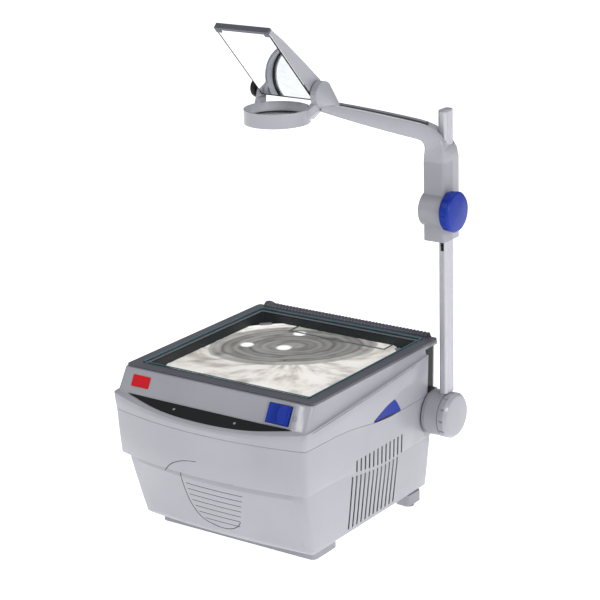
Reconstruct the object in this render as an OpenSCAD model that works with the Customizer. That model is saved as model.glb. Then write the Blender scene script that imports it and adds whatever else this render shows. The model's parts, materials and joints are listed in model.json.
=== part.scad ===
// Overhead projector with a hinged stage cover, a folding post, a rack-driven focus carriage
// and a tilting head mirror. Stands on z = 0; x = y = 0 is the centre of the stage.
// +X is the side with the post and the power rocker, -Y is the front with the slanted panel.

/* [Stage] */
// Width of the clear stage window
stage_w = 290; // [240:1:350]
// Depth of the clear stage window
stage_d = 289; // [240:1:350]
// Width of the rim around the window
rim_w = 17; // [14:0.5:22]
// Height of the top of the rim above the table
stage_z = 251; // [245:1:300]
// Thickness of the rim frame
rim_t = 3; // [2:0.5:4]
// Thickness of the stage glass
glass_t = 4; // [3:0.5:5]
// How far the glass stands proud of the rim
glass_proud = 1.5; // [0.5:0.5:2]
// Depth from the top of the rim down to the Fresnel lens
fresnel_drop = 15; // [12:1:20]
// Thickness of the Fresnel lens
fresnel_t = 3; // [2:0.5:4]
// Length cut off each corner of the Fresnel lens
fresnel_cut = 34; // [20:1:45]

/* [Case] */
// Height of the bottom edge of the lower case
skirt_z = 22; // [18:1:28]
// Height of the step under the overhanging band
step_z = 124; // [110:1:135]
// Height of the seam between band and stage cover
seam_z = 191; // [182:1:200]
// How far the side seam and the step sink towards the rear
seam_drop = 15; // [0:1:18]
// How far the front bulges forward in the middle
front_bow = 20; // [8:1:26]
// How far the sides bulge
side_bow = 3; // [0:0.5:5]
// Width of the step under the band
step_in = 7; // [5:0.5:9]
// How far the front leans in from step to skirt
front_lean = 24; // [12:1:30]
// How far the sides lean in from step to skirt
side_lean = 7; // [3:0.5:10]
// Wall of the moulded shells
wall = 3; // [2.4:0.2:3.4]
// Radius of the upright corners
corner_r = 8; // [6:0.5:12]
// Number of vent slots in each row
vent_count = 12; // [6:1:13]
// Distance between vent slots
vent_pitch = 10.5; // [8:0.5:11]
// Width of one vent slot
vent_w = 3.6; // [2:0.2:5]
// Height of the rubber pads
pad_t = 4; // [3:0.5:6]

/* [Panel] */
// How far the panel leans forward from rim to lip
panel_lean = 16; // [8:1:20]
// Height of the bottom edge of the panel below the rim
panel_h = 34; // [30:1:38]
// Width of the rocker
rocker_w = 38; // [28:1:42]
// Height of the rocker
rocker_h = 27; // [20:1:29]
// Rocker position from the middle
rocker_x = 115; // [80:1:120]
// Gap around the rocker and the latch buttons
button_gap = 0.6; // [0.4:0.1:0.9]
// Angle of the rocker between its two states
rocker_travel = 12; // [8:1:14]

/* [Post] */
// Height of the clamp axis
clamp_z = 148; // [140:1:156]
// Clamp axis behind the middle of the stage
clamp_y = 133; // [126:1:140]
// Diameter of the hub and its clamp knob
hub_d = 67; // [56:1:72]
// Width of the hub
hub_w = 21; // [18:1:26]
// Width of the clamp knob
clamp_w = 14; // [12:1:18]
// Diameter of the clamp stud
stud_d = 10; // [8:0.5:12]
// Width of the post, side to side
post_w = 13; // [11:0.5:16]
// Depth of the post, front to back
post_d = 23; // [20:0.5:26]
// Height of the top of the post
post_top = 596; // [570:1:640]

/* [Carriage] */
// Width of the carriage, side to side
car_w = 34; // [32:1:40]
// Depth of the carriage, front to back
car_d = 44; // [42:1:50]
// Height of the bottom of the carriage
car_z = 413; // [405:1:430]
// Height of the carriage
car_h = 114; // [95:1:120]
// Gap between post and carriage
slide_gap = 0.35; // [0.3:0.05:0.5]
// Height of the pinion axis above the bottom of the carriage
pinion_up = 45; // [38:1:60]
// Teeth of the pinion
pinion_teeth = 12; // [10:1:12]
// Gear module of rack and pinion
gear_m = 1.2; // [1:0.1:1.2]
// Focus travel up and down from the middle
focus_travel = 40; // [20:1:45]
// Diameter of the focus knob
knob_d = 58; // [44:1:62]
// Width of the focus knob
knob_w = 15; // [12:1:20]

/* [Arm] */
// Radius of the elbow, at the middle of the arm
elbow_r = 42; // [36:1:50]
// Rise of the arm towards the head
arm_rise = 15.2; // [8:0.2:16]
// Width of the arm
arm_w = 36; // [30:1:40]
// Depth of the arm after the elbow
arm_t = 23; // [18:1:26]
// Depth of the arm at the head
arm_tip_t = 13; // [11:1:16]
// Depth of the channel along the top of the arm
channel_deep = 5; // [3:0.5:6]

/* [Head] */
// Height of the bottom of the lens ring
ring_z = 586; // [575:1:600]
// Outer diameter of the lens ring
ring_d = 93; // [80:1:100]
// Height of the ring at the back
ring_h = 20; // [16:1:24]
// Wall of the lens ring
ring_wall = 3; // [2.4:0.2:3.6]
// Diameter of the mirror hinge pin
pin_d = 5; // [4:0.5:6]
// Mirror hinge behind the lens axis
hinge_y = 34; // [30:1:38]
// Mirror hinge above the bottom of the ring
hinge_up = 37; // [34:1:42]
// Width of the mirror
mirror_w = 89; // [80:1:92]
// Length of the mirror
mirror_l = 150; // [120:1:160]
// Lean of the mirror from level
mirror_lean = 47; // [42:0.5:55]

/* [Inside] */
// Height of the chassis deck
deck_z = 58; // [50:1:70]
// Diameter of the fan rotor
fan_d = 84; // [60:1:88]
// Radial clearance between a turning piece and its pin
turn_gap = 0.05; // [0.02:0.01:0.1]
// Diameter of the case screws
screw_d = 4; // [3:0.5:5]

/* [Hidden] */

front_n = 14;
side_n = 10;
corner_n = 4;
rear_n = 4;
rim_x = stage_w/2 + rim_w;
rim_y = stage_d/2 + rim_w;
seam_x = rim_x + 2.5;
seam_f = rim_y + 25.5;
seam_b = rim_y - 3.5;
step_x = seam_x - 2.5;
step_f = seam_f - 3.5;
step_b = seam_b - 3;
low_x = step_x - step_in;
low_f = step_f - step_in - 2.5;
low_b = step_b - 5;
skirt_x = low_x - side_lean;
skirt_f = low_f - front_lean;
skirt_b = low_b - 2;
drop_from = -rim_y + 50;
drop_to = 25;
cover_top = stage_z - rim_t;
panel_z = stage_z - panel_h;
panel_f = rim_y + 4 + panel_lean;
panel_tilt = atan(panel_lean/(cover_top - 1 - panel_z));
panel_run = norm([panel_lean, cover_top - 1 - panel_z]);
lip_rise = 25;
lip_dip = 12;
fresnel_z = stage_z - fresnel_drop - fresnel_t;
hinge_r = 4.5;
cover_hinge_y = seam_b + hinge_r + 1.5;
cover_hinge_z = seam_z - seam_drop + 2;
hub_x = seam_x + side_bow + 4.8;
post_x = hub_x + hub_w/2 + 8.2;
post_y = clamp_y + 1;
post_front = post_y - post_d/2;
pitch_r = gear_m*pinion_teeth/2;
rack_tip = post_front + 0.7;
rack_root = rack_tip + 1.9*gear_m;
pinion_y = rack_tip + 0.9*gear_m - pitch_r;
pinion_z = car_z + pinion_up;
car_x0 = post_x - car_w/2 - 5;
car_x1 = car_x0 + car_w;
car_y0 = post_y - car_d/2 - 4;
car_y1 = car_y0 + car_d;
car_top = car_z + car_h;
knob_x = car_x1 + 3;
car_mid = [(car_x0 + car_x1)/2, (car_y0 + car_y1)/2];
arm_yaw = atan2(car_mid.y, car_mid.x);
arm_s0 = norm(car_mid);
hinge_z = ring_z + hinge_up;
vent_mid = -6;
lamp_z = deck_z + 40;
fan_x = low_x - 42;
fan_y = vent_mid;
fan_z = deck_z + 3 + fan_d/2 + 5;

function smooth(t) = let (u = max(0, min(1, t))) u*u*(3 - 2*u);

// Drop of a side line at a place along the side
function side_drop(y) = smooth((y - drop_from)/(drop_to - drop_from));

function arc_points(cx, cy, r, a0, a1) =
  [for (i = [1:corner_n - 1]) let (a = a0 + (a1 - a0)*i/corner_n) [cx + r*cos(a), cy + r*sin(a)]];

// Plan outline of the case: bowed front and sides, flat rear, round corners, anticlockwise
function plan(hx, yf, yr, bow, side, r) =
  let (
    fx = hx - r,
    tb = atan(2*bow/fx),
    xe = fx + r*sin(tb),
    ye = -yf + r - r*cos(tb),
    hs = (yf + yr)/2 - r,
    ts = atan(2*side/hs),
    ym = (yr - yf)/2,
    he = hs + r*sin(ts),
    xs = fx + r*cos(ts)
  )
  concat(
    [for (i = [0:front_n]) let (t = -1 + 2*i/front_n) [xe*t, ye - bow*(1 - t*t)]],
    arc_points(fx, -yf + r, r, -90 + tb, -ts),
    [for (i = [0:side_n]) let (t = -1 + 2*i/side_n) [xs + side*(1 - t*t), ym + he*t]],
    arc_points(fx, yr - r, r, ts, 90),
    [for (i = [0:rear_n]) [fx - 2*fx*i/rear_n, yr]],
    arc_points(-fx, yr - r, r, 90, 180 - ts),
    [for (i = [0:side_n]) let (t = 1 - 2*i/side_n) [-xs - side*(1 - t*t), ym + he*t]],
    arc_points(-fx, -yf + r, r, 180 + ts, 270 - tb)
  );

// One ring of a shell: a plan outline with heights. drop lowers the rear, rise lifts the sides
// towards the rear, dip lowers the middle of the front.
function ring(hx, yf, yr, z, bow = 0, side = 0, r = corner_r, drop = 0, rise = 0, dip = 0) =
  let (pts = plan(hx, yf, yr, bow, side, r))
  [for (i = [0:len(pts) - 1]) let (p = pts[i], t = -1 + 2*i/front_n)
    [p.x, p.y, z - drop*side_drop(p.y) + rise*max(0, min(1, (p.y + yf)/(yf + yr)))
      - (i <= front_n ? dip*(1 - t*t) : 0)]];

// Solid through a stack of rings, bottom to top; a tube joins its last ring to its first
module loft(rings, tube = false) {
  n = len(rings[0]);
  m = len(rings);
  last = tube ? m - 1 : m - 2;
  polyhedron(
    points = [for (r = rings) each r],
    faces = concat(
      [for (k = [0:last], i = [0:n - 1]) let (j = (i + 1) % n, u = (k + 1) % m)
        each [[k*n + i, u*n + i, u*n + j], [k*n + i, u*n + j, k*n + j]]],
      tube ? [] : [[for (i = [0:n - 1]) i], [for (i = [n - 1:-1:0]) (m - 1)*n + i]]
    ),
    convexity = 8
  );
}

module rounded_plate(w, d, h, r) {
  linear_extrude(h) rounded_outline(w, d, r);
}

module rounded_outline(w, d, r) {
  translate([-w/2 + r, -d/2]) square([w - 2*r, d]);
  translate([-w/2, -d/2 + r]) square([w, d - 2*r]);
  for (x = [-1, 1], y = [-1, 1])
    translate([x*(w/2 - r), y*(d/2 - r)]) circle(r = r, $fn = 32);
}

// Cylinder along +X from x0 to x1
module xcyl(x0, x1, d, y = 0, z = 0, fn = 64) {
  translate([x0, y, z]) rotate([0, 90, 0]) cylinder(h = x1 - x0, d = d, $fn = fn);
}

// Puts its children on the slanted panel: local x to the right, local y up the slope, z outwards
module on_panel(x, up) {
  translate([x, -panel_f + up*sin(panel_tilt), panel_z + up*cos(panel_tilt)])
    rotate([90 - panel_tilt, 0, 0]) children();
}

// --- Lower case and feet ---

function low_ring(z, t, inset, drop = 0) = ring(
  skirt_x + (low_x - skirt_x)*t - inset, skirt_f + (low_f - skirt_f)*t - inset,
  skirt_b + (low_b - skirt_b)*t - inset, z, bow = front_bow*(0.35 + 0.45*t), side = side_bow*t,
  r = corner_r - inset/2, drop = drop);

low_outer = [
  low_ring(skirt_z, 0, 3),
  low_ring(skirt_z + 3, 0.02, 0.2),
  low_ring(skirt_z + 30, 0.33, 0, 3),
  low_ring(skirt_z + 62, 0.68, 0, seam_drop*0.55),
  low_ring(step_z - 12, 0.97, 0, seam_drop),
  low_ring(step_z + 6, 1, 0, seam_drop)
];
low_inner = [
  low_ring(step_z + 6, 1, wall, seam_drop),
  low_ring(step_z - 14, 0.96, wall, seam_drop),
  low_ring(skirt_z + 62, 0.68, wall, seam_drop*0.55),
  low_ring(skirt_z + 30, 0.33, wall, 3),
  low_ring(skirt_z + wall, 0.04, wall)
];
low_profile = [[skirt_z, 0], [skirt_z + 30, 0.33], [skirt_z + 62, 0.68], [step_z - 12, 0.97],
  [step_z + 6, 1]];

// Front face of the lower case at a place across and a height
function front_y(x, z) = let (t = lookup(z, low_profile))
  -(skirt_f + (low_f - skirt_f)*t) - front_bow*(0.35 + 0.45*t)*(1 - pow(x/(skirt_x - corner_r), 2));

// Closed patch of the front wall: rows are [height, depth below the face]
module front_patch(x0, x1, rows, back) {
  nx = 14;
  nr = len(rows);
  xs = [for (i = [0:nx]) x0 + (x1 - x0)*i/nx];
  w = nx + 1;
  all = w*nr;
  polyhedron(
    points = concat(
      [for (r = rows, x = xs) [x, front_y(x, r[0]) + r[1], r[0]]],
      [for (r = rows, x = xs) [x, front_y(x, r[0]) + back, r[0]]]),
    faces = concat(
      [for (k = [0:nr - 2], i = [0:nx - 1]) let (a = k*w + i)
        each [[a, a + w, a + w + 1], [a, a + w + 1, a + 1]]],
      [for (k = [0:nr - 2], i = [0:nx - 1]) let (a = all + k*w + i)
        each [[a, a + w + 1, a + w], [a, a + 1, a + w + 1]]],
      [for (k = [0:nr - 2]) let (a = k*w) each [[a, a + all, a + all + w], [a, a + all + w, a + w]]],
      [for (k = [0:nr - 2]) let (a = k*w + nx) each [[a, a + w, a + all + w], [a, a + all + w, a + all]]],
      [for (i = [0:nx - 1]) each [[i, i + 1, i + all + 1], [i, i + all + 1, i + all]]],
      [for (i = [0:nx - 1]) let (a = (nr - 1)*w + i)
        each [[a, a + all, a + all + 1], [a, a + all + 1, a + 1]]]
    ),
    convexity = 6
  );
}

// Outline of the ribbed finger-grip, drawn on the front, in x and z
module grip_outline(grow = 0) {
  intersection() {
    translate([-92 - grow, skirt_z + 8 - grow]) square([115 + 2*grow, 66 + 2*grow]);
    translate([10, step_z + 3]) circle(r = 101 + grow, $fn = 96);
  }
}

module vent_slots(x0, x1, z_low, z_high, fall) {
  for (s = [-1, 1], i = [0:vent_count - 1]) {
    y = vent_mid + (i - (vent_count - 1)/2)*vent_pitch;
    h = z_high - fall*side_drop(y) - z_low;
    translate([s > 0 ? x0 : -x1, y - vent_w/2, z_low]) cube([x1 - x0, vent_w, h]);
  }
}

module lower_case() {
  color("#B5B5BB") difference() {
    loft(concat(low_outer, low_inner));
    vent_slots(skirt_x - 12, low_x + 8, skirt_z + 8, step_z - 9, seam_drop*0.9);
    translate([0, -skirt_f + 6, 0]) rotate([90, 0, 0]) linear_extrude(60) grip_outline(0.3);
    for (p = screw_places) translate([p.x, p.y, skirt_z - 1]) cylinder(h = wall + 2, d = screw_d + 0.6, $fn = 32);
    for (i = [-4:4]) translate([i*12 - 2, -skirt_f + 112, skirt_z - 1]) cube([4, 60, wall + 2]);
    translate([-low_x + 26, skirt_b - 12, deck_z + 12]) cube([inlet_w + 0.6, 30, inlet_h + 0.6]);
    xcyl(low_x - 12, low_x + 8, hub_d*0.6 + 1, clamp_y, clamp_z);
  }
}

grip_ribs = 7;
grip_rows = concat(
  [[skirt_z + 6, 0.4]],
  [for (i = [0:grip_ribs - 1]) let (z = skirt_z + 14 + i*8.4)
    each [[z, 0.4], [z + 0.6, 2], [z + 5, 2], [z + 5.6, 0.4]]],
  [[skirt_z + 78, 0.4]]);

module grip_panel() {
  color("#A9A9B0") intersection() {
    translate([0, -skirt_f + 10, 0]) rotate([90, 0, 0]) linear_extrude(70) grip_outline(0);
    front_patch(-96, 28, grip_rows, wall);
  }
}

module front_foot() {
  color("#9FA0A8") difference() {
    translate([0, -skirt_f + 50, pad_t]) rounded_plate(2*skirt_x - 26, 58, skirt_z - pad_t, 8);
    for (p = screw_places) translate([p.x, p.y, 0]) cylinder(h = skirt_z + 1, d = 2*screw_d + 1, $fn = 48);
  }
}

module rear_feet() {
  color("#9FA0A8") for (s = [-1, 1])
    translate([s*(skirt_x - 12), skirt_b - 35, pad_t]) rounded_plate(24, 34, skirt_z - pad_t, 5);
}

pad_places = [for (s = [-1, 1]) each [[s*(skirt_x - 30), -skirt_f + 50], [s*(skirt_x - 12), skirt_b - 35]]];

module foot_pads() {
  color("#33343A") for (p = pad_places) translate([p.x, p.y, 0]) cylinder(h = pad_t, d = 18, $fn = 48);
}

// --- Band of the case and what is fixed inside ---

function band_ring(z, t, inset, drop) = ring(
  step_x + (seam_x - step_x)*t - inset, step_f + (seam_f - step_f)*t - inset,
  step_b + (seam_b - step_b)*t - inset, z, bow = front_bow*(0.9 + 0.1*t), side = side_bow,
  r = corner_r - inset/2, drop = drop);

function flange_ring(z) = ring(low_x + 0.3, low_f + 0.3, low_b + 0.3, z, bow = front_bow*0.8,
  side = side_bow, r = corner_r, drop = seam_drop);

hinge_places = [-rim_x*0.55, rim_x*0.55];
hinge_len = 44;
lug_len = 10;

module hinge_barrel(x0, x1, d) {
  xcyl(x0, x1, d, cover_hinge_y, cover_hinge_z);
}

module band_case() {
  color("#B9B9BF") difference() {
    union() {
      loft([
        band_ring(step_z, 0, 0.6, seam_drop),
        band_ring(step_z + 1.5, 0.02, 0, seam_drop),
        band_ring((step_z + seam_z)/2, 0.6, 0, seam_drop),
        band_ring(seam_z - 0.5, 1, 0, seam_drop),
        band_ring(seam_z - 0.5, 1, wall, seam_drop),
        band_ring((step_z + seam_z)/2, 0.6, wall, seam_drop),
        band_ring(step_z + wall, 0.05, wall, seam_drop),
        flange_ring(step_z + wall),
        flange_ring(step_z)
      ], tube = true);
      for (x = hinge_places, s = [-1, 1]) {
        hinge_barrel(x + s*(hinge_len/2 - lug_len/2) - lug_len/2, x + s*(hinge_len/2 - lug_len/2) + lug_len/2, 2*hinge_r);
        translate([x + s*(hinge_len/2 - lug_len/2) - lug_len/2, seam_b - 2.5, cover_hinge_z - 16])
          cube([lug_len, cover_hinge_y - seam_b + 2.5, 14]);
      }
    }
    vent_slots(low_x - 5, seam_x + side_bow + 2, step_z - seam_drop - 2, step_z + 14, 0);
    for (x = hinge_places) hinge_barrel(x - hinge_len/2 - 1, x + hinge_len/2 + 1, 5);
    xcyl(low_x - 12, seam_x + 8, hub_d*0.6 + 1, clamp_y, clamp_z);
  }
}

module hinge_pins() {
  color("#8E9196") for (x = hinge_places) hinge_barrel(x - hinge_len/2, x + hinge_len/2, 5);
}

screw_places = [for (x = [-1, 1], y = [-1, 1]) [x*(skirt_x - 48), y*(skirt_b - 52)]];
deck_w = 2*skirt_x - 70;
deck_d = 2*skirt_b - 74;
inlet_w = 28;
inlet_h = 24;

module chassis_deck() {
  color("#A7ABB0") {
    difference() {
      translate([0, 0, deck_z]) rounded_plate(deck_w, deck_d, 2, 6);
      translate([0, 0, deck_z - 1]) cylinder(h = 4, d = 46, $fn = 64);
      for (p = screw_places) translate([p.x, p.y, deck_z - 1]) cylinder(h = 4, d = screw_d + 0.3, $fn = 32);
      for (i = [-3:3]) translate([i*9 - 2, -deck_d/2 + 18, deck_z - 1]) cube([4, 34, 4]);
    }
    for (p = screw_places) difference() {
      translate([p.x, p.y, skirt_z + wall]) cylinder(h = deck_z - skirt_z - wall, d = 12, $fn = 48);
      translate([p.x, p.y, skirt_z]) cylinder(h = deck_z, d = screw_d + 0.3, $fn = 32);
    }
  }
}

module case_screws() {
  color("#77797E") for (p = screw_places) translate([p.x, p.y, skirt_z - 2.4]) {
    cylinder(h = 2.4, d = 2*screw_d, $fn = 48);
    cylinder(h = deck_z - skirt_z + 6, d = screw_d, $fn = 48);
    translate([0, 0, deck_z - skirt_z + 4.4]) cylinder(h = 3.2, d = 1.8*screw_d, $fn = 6);
  }
}

house_w = 104;
house_h = 62;

module lamp_house() {
  color("#C9CBCE") difference() {
    translate([0, 0, deck_z + 2]) rounded_plate(house_w, house_w, house_h, 6);
    translate([0, 0, deck_z + 3]) rounded_plate(house_w - 2.4, house_w - 2.4, house_h - 2.2, 5);
    translate([0, 0, deck_z]) cylinder(h = 8, d = 46, $fn = 64);
    translate([0, 0, deck_z + house_h - 4]) cylinder(h = 12, d = 72.4, $fn = 96);
    for (s = [-1, 1], i = [-4:4]) translate([s*house_w/2 - 5, i*9 - 2, deck_z + 12]) cube([10, 4, house_h - 26]);
  }
}

module lamp_holder() {
  color("#E6E3DA") difference() {
    union() {
      translate([-12, -9, deck_z + 3]) cube([24, 18, 20]);
      translate([-20, -6, deck_z + 3]) cube([40, 12, 4]);
    }
    for (s = [-1, 1]) translate([s*3.2, 0, deck_z + 12]) cylinder(h = 30, d = 1.7, $fn = 24);
  }
}

module halogen_lamp() {
  color("#E9EEF2") {
    translate([0, 0, lamp_z - 17]) rotate_extrude($fn = 64)
      polygon([[0, 0], [6, 0], [6.2, 6], [6.6, 12], [6.6, 24], [5.4, 29], [3, 31.5], [0, 32.5]]);
    for (s = [-1, 1]) translate([s*3.2, 0, deck_z + 13]) cylinder(h = lamp_z - 17 - deck_z - 13, d = 1.3, $fn = 24);
  }
}

// Dished reflector under the lamp, with a slot for the holder
module lamp_reflector() {
  color("#DDE0E4") difference() {
    translate([0, 0, lamp_z]) rotate_extrude($fn = 96)
      polygon(concat(
        [for (i = [0:9]) let (a = -60 + i*7) [40*cos(a), 40*sin(a)]],
        [for (i = [9:-1:0]) let (a = -60 + i*7) [38.8*cos(a), 38.8*sin(a)]]));
    translate([-26, -11, 0]) cube([52, 22, lamp_z - 14]);
  }
}

module condenser_lens() {
  color("#CFE3EA") translate([0, 0, deck_z + house_h - 2]) rotate_extrude($fn = 96)
    polygon(concat([[0, 0], [36, 0], [36, 3]], [for (i = [1:8]) let (x = 36*(1 - i/8)) [x, 3 + 9*(1 - pow(x/36, 2))]]));
}

module thermal_cutout() {
  color("#4B4C50") {
    translate([-house_w/2 - 3, 24, deck_z + 34]) cube([3, 26, 12]);
    xcyl(-house_w/2 - 9, -house_w/2 - 3, 14, 37, deck_z + 40, 48);
  }
}

core_w = 60;
core_h = 58;
core_at = [-skirt_x + 84, skirt_b - 62, deck_z + 2];

module transformer_core() {
  color("#5C5F66") translate([core_at.x - core_w/2, core_at.y - 20, core_at.z]) difference() {
    cube([core_w, 40, core_h]);
    for (s = [-1, 1]) translate([core_w/2 + s*16 - 6, -1, 11]) cube([12, 42, core_h - 22]);
  }
}

module transformer_coils() {
  color("#B8834A") translate([core_at.x, core_at.y, core_at.z + 11.2]) difference() {
    translate([-21.4, -27, 0]) cube([42.8, 54, core_h - 22.4]);
    translate([-10, -20, -1]) cube([20, 40, core_h]);
  }
}

module fan_frame() {
  color("#3A3C42") difference() {
    union() {
      difference() {
        translate([fan_x - 12, fan_y - fan_d/2 - 5, deck_z + 3]) cube([24, fan_d + 10, fan_d + 8]);
        xcyl(fan_x - 13, fan_x + 13, fan_d + 3, fan_y, fan_z, 128);
        for (y = [-1, 1], z = [-1, 1])
          xcyl(fan_x - 13, fan_x + 13, 4.4, fan_y + y*fan_d*0.45, fan_z + z*fan_d*0.45, 32);
      }
      for (a = [45:90:315]) translate([fan_x - 12, fan_y, fan_z]) rotate([a, 0, 0])
        translate([0, -2.5, 8]) cube([2.5, 5, fan_d/2 - 5]);
      xcyl(fan_x - 12, fan_x - 6, 24, fan_y, fan_z);
    }
    xcyl(fan_x - 13, fan_x - 5, 3, fan_y, fan_z, 32);
  }
  color("#8E9196") xcyl(fan_x - 12, fan_x + 8, 3, fan_y, fan_z, 32);
}

blade_count = 7;

module fan_rotor() {
  color("#2C2D31") difference() {
    union() {
      xcyl(fan_x - 5.4, fan_x + 10, 30, fan_y, fan_z, 96);
      intersection() {
        for (i = [0:blade_count - 1]) translate([fan_x + 2, fan_y, fan_z]) rotate([i*360/blade_count, 0, 0])
          rotate([0, 0, 38]) translate([-1, -12, 12]) cube([2, 24, fan_d/2]);
        xcyl(fan_x - 5, fan_x + 9.5, fan_d, fan_y, fan_z, 128);
      }
    }
    xcyl(fan_x - 6, fan_x + 11, 3 + 2*turn_gap, fan_y, fan_z, 32);
  }
}

module power_inlet() {
  color("#1D1E21") translate([-low_x + 26.3, skirt_b - 24, deck_z + 12.3]) {
    difference() {
      union() {
        cube([inlet_w, 28, inlet_h]);
        translate([-3, 26, -3]) cube([inlet_w + 6, 3, inlet_h + 6]);
      }
      translate([3, 10, 3]) cube([inlet_w - 6, 24, inlet_h - 6]);
    }
  }
  color("#B9BCC0") for (p = [[-6, 0], [0, 4], [6, 0]])
    translate([-low_x + 26.3 + inlet_w/2 + p.x - 1, skirt_b - 15, deck_z + 12.3 + inlet_h/2 + p.y - 2]) cube([2, 12, 4]);
}

// --- Clamp of the post ---

module clamp_bracket() {
  color("#9A9BA3") difference() {
    union() {
      xcyl(low_x - 8, hub_x - 4.4, hub_d*0.6, clamp_y, clamp_z, 96);
      xcyl(hub_x - 4.4, hub_x - 0.4, hub_d - 1, clamp_y, clamp_z, 128);
      translate([low_x - 14, clamp_y - 44, clamp_z - 30]) cube([6, 60, 56]);
    }
    xcyl(low_x - 16, hub_x + 1, stud_d, clamp_y, clamp_z);
  }
}

module clamp_stud() {
  color("#A9ACB0") {
    xcyl(low_x - 16, hub_x + hub_w + clamp_w - 4, stud_d, clamp_y, clamp_z);
    xcyl(low_x - 20, low_x - 14.1, stud_d*1.7, clamp_y, clamp_z, 6);
  }
}

module post_hub() {
  color("#B3B3BA") difference() {
    union() {
      xcyl(hub_x, hub_x + hub_w, hub_d, clamp_y, clamp_z, 128);
      intersection() {
        translate([post_x, post_y, clamp_z]) linear_extrude(shoulder_z - clamp_z) rounded_outline(post_w, post_d, 4);
        translate([0, 0, clamp_z]) cube([hub_x + hub_w - 1, 2*post_y, hub_d]);
      }
      hub_tongue(0, clamp_z);
    }
    xcyl(hub_x - 1, hub_x + hub_w + 1, stud_d + 2*turn_gap, clamp_y, clamp_z);
  }
}

shoulder_z = clamp_z + hub_d/2 + 0.8;
tongue_h = 26;

// Tongue of the hub on which the post is seated
module hub_tongue(gap, from) {
  x0 = post_x - post_w/2 + 2.6;
  x1 = hub_x + hub_w - 2;
  translate([x0 - gap, post_y - post_d/2 + 6 - gap, from])
    cube([x1 - x0 + 2*gap, post_d - 12 + 2*gap, shoulder_z + tongue_h - from + gap]);
}

// Extruded section: rounded bar with a rack groove in front and two flutes on each side
module post_outline() {
  difference() {
    rounded_outline(post_w, post_d, 4);
    for (s = [-1, 1], y = [-4, 5]) translate([s*(post_w/2 + 0.5), y]) circle(d = 2.4, $fn = 24);
  }
}

rack_from = car_z + pinion_up - focus_travel - 22;
rack_to = car_z + pinion_up + focus_travel + 44;
rack_w = 6;
groove_deep = 0.7 + 1.9*gear_m + 1.4;

module post() {
  color("#C6C6CB") difference() {
    translate([post_x, post_y, shoulder_z]) linear_extrude(post_top - shoulder_z) post_outline();
    translate([post_x - rack_w/2, post_front - 1, rack_from]) cube([rack_w, groove_deep + 1, rack_to - rack_from]);
    hub_tongue(0.1, shoulder_z - 1);
  }
}

module post_cap() {
  color("#8F9097") translate([post_x, post_y, post_top]) rounded_plate(post_w - 0.6, post_d - 0.6, 2.5, 3.6);
}

tooth_play = 0.3;

// Straight-sided tooth from root to tip along -x, half as thick as the pitch less the play
module rack_tooth() {
  half = PI*gear_m/4 - tooth_play/2;
  slope = tan(20);
  polygon([[0.2, -half - gear_m*slope], [0.2, half + gear_m*slope],
    [-1.9*gear_m, half - 0.9*gear_m*slope], [-1.9*gear_m, -half + 0.9*gear_m*slope]]);
}

module gear_rack() {
  p = PI*gear_m;
  color("#26272B") {
    translate([post_x - rack_w/2 + 0.1, rack_root, rack_from + 0.1])
      cube([rack_w - 0.2, post_front + groove_deep - 0.1 - rack_root, rack_to - rack_from - 0.2]);
    for (i = [ceil((rack_from + 2 - pinion_z)/p):floor((rack_to - 2 - pinion_z)/p) - 1])
      translate([post_x - rack_w/2 + 0.1, rack_root, pinion_z + (i + 0.5)*p]) rotate([90, 0, 90])
        linear_extrude(rack_w - 0.2) rack_tooth();
  }
}

module clamp_knob() {
  x0 = hub_x + hub_w + 0.4;
  color("#BDBDC3") difference() {
    translate([x0, clamp_y, clamp_z]) rotate([0, 90, 0]) rotate_extrude($fn = 128)
      polygon(concat(
        [[0, 0], [hub_d/2 - 1, 0], [hub_d/2, 1], [hub_d/2, clamp_w - 4], [hub_d/2 - 3, clamp_w - 0.5]],
        [for (i = [0:8]) let (r = (hub_d/2 - 4)*(1 - i/8)) [r, clamp_w + 2.2*(1 - pow(r/(hub_d/2), 2))]]));
    xcyl(x0 - 1, hub_x + hub_w + clamp_w - 3.8, stud_d + 2*turn_gap, clamp_y, clamp_z);
    for (i = [0:11]) translate([x0, clamp_y, clamp_z]) rotate([i*30, 0, 0])
      translate([2, -1.4, hub_d/2 - 1.2]) cube([clamp_w - 6.5, 2.8, 4]);
  }
}

// --- Stage cover ---

lip_z = panel_z - 2;

function cover_ring(hx, yf, yr, z, bow, side, drop = 0, rise = 0, dip = 0, inset = 0) =
  ring(hx - inset, yf - inset, yr - inset, z, bow = bow, side = side, r = corner_r - inset/2,
    drop = drop, rise = rise, dip = dip);

cover_outer = [
  cover_ring(seam_x, seam_f, seam_b, seam_z, front_bow, side_bow, drop = seam_drop),
  cover_ring(seam_x + 1.6, seam_f + 0.8, seam_b + 1, (seam_z + lip_z)/2, front_bow, side_bow,
    drop = seam_drop*0.4, rise = lip_rise*0.5, dip = lip_dip*0.4),
  cover_ring(seam_x + 2.5, seam_f + 1, seam_b + 2, lip_z, front_bow - 1, side_bow, rise = lip_rise, dip = lip_dip),
  cover_ring(rim_x + 2, panel_f + 1.5, rim_y - 1, lip_z + 0.6, 4, 1, rise = lip_rise, dip = 1.5),
  cover_ring(rim_x + 1.5, panel_f, rim_y - 0.8, panel_z, 0.2, 0.6, rise = lip_rise),
  cover_ring(rim_x, rim_y + 4, rim_y, cover_top - 1, 0.2, 0.1),
  cover_ring(rim_x - 0.8, rim_y + 2.5, rim_y - 0.8, cover_top, 0.2, 0.1)
];
flange_x = stage_w/2 - 5;
flange_y = stage_d/2 - 5;
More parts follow.
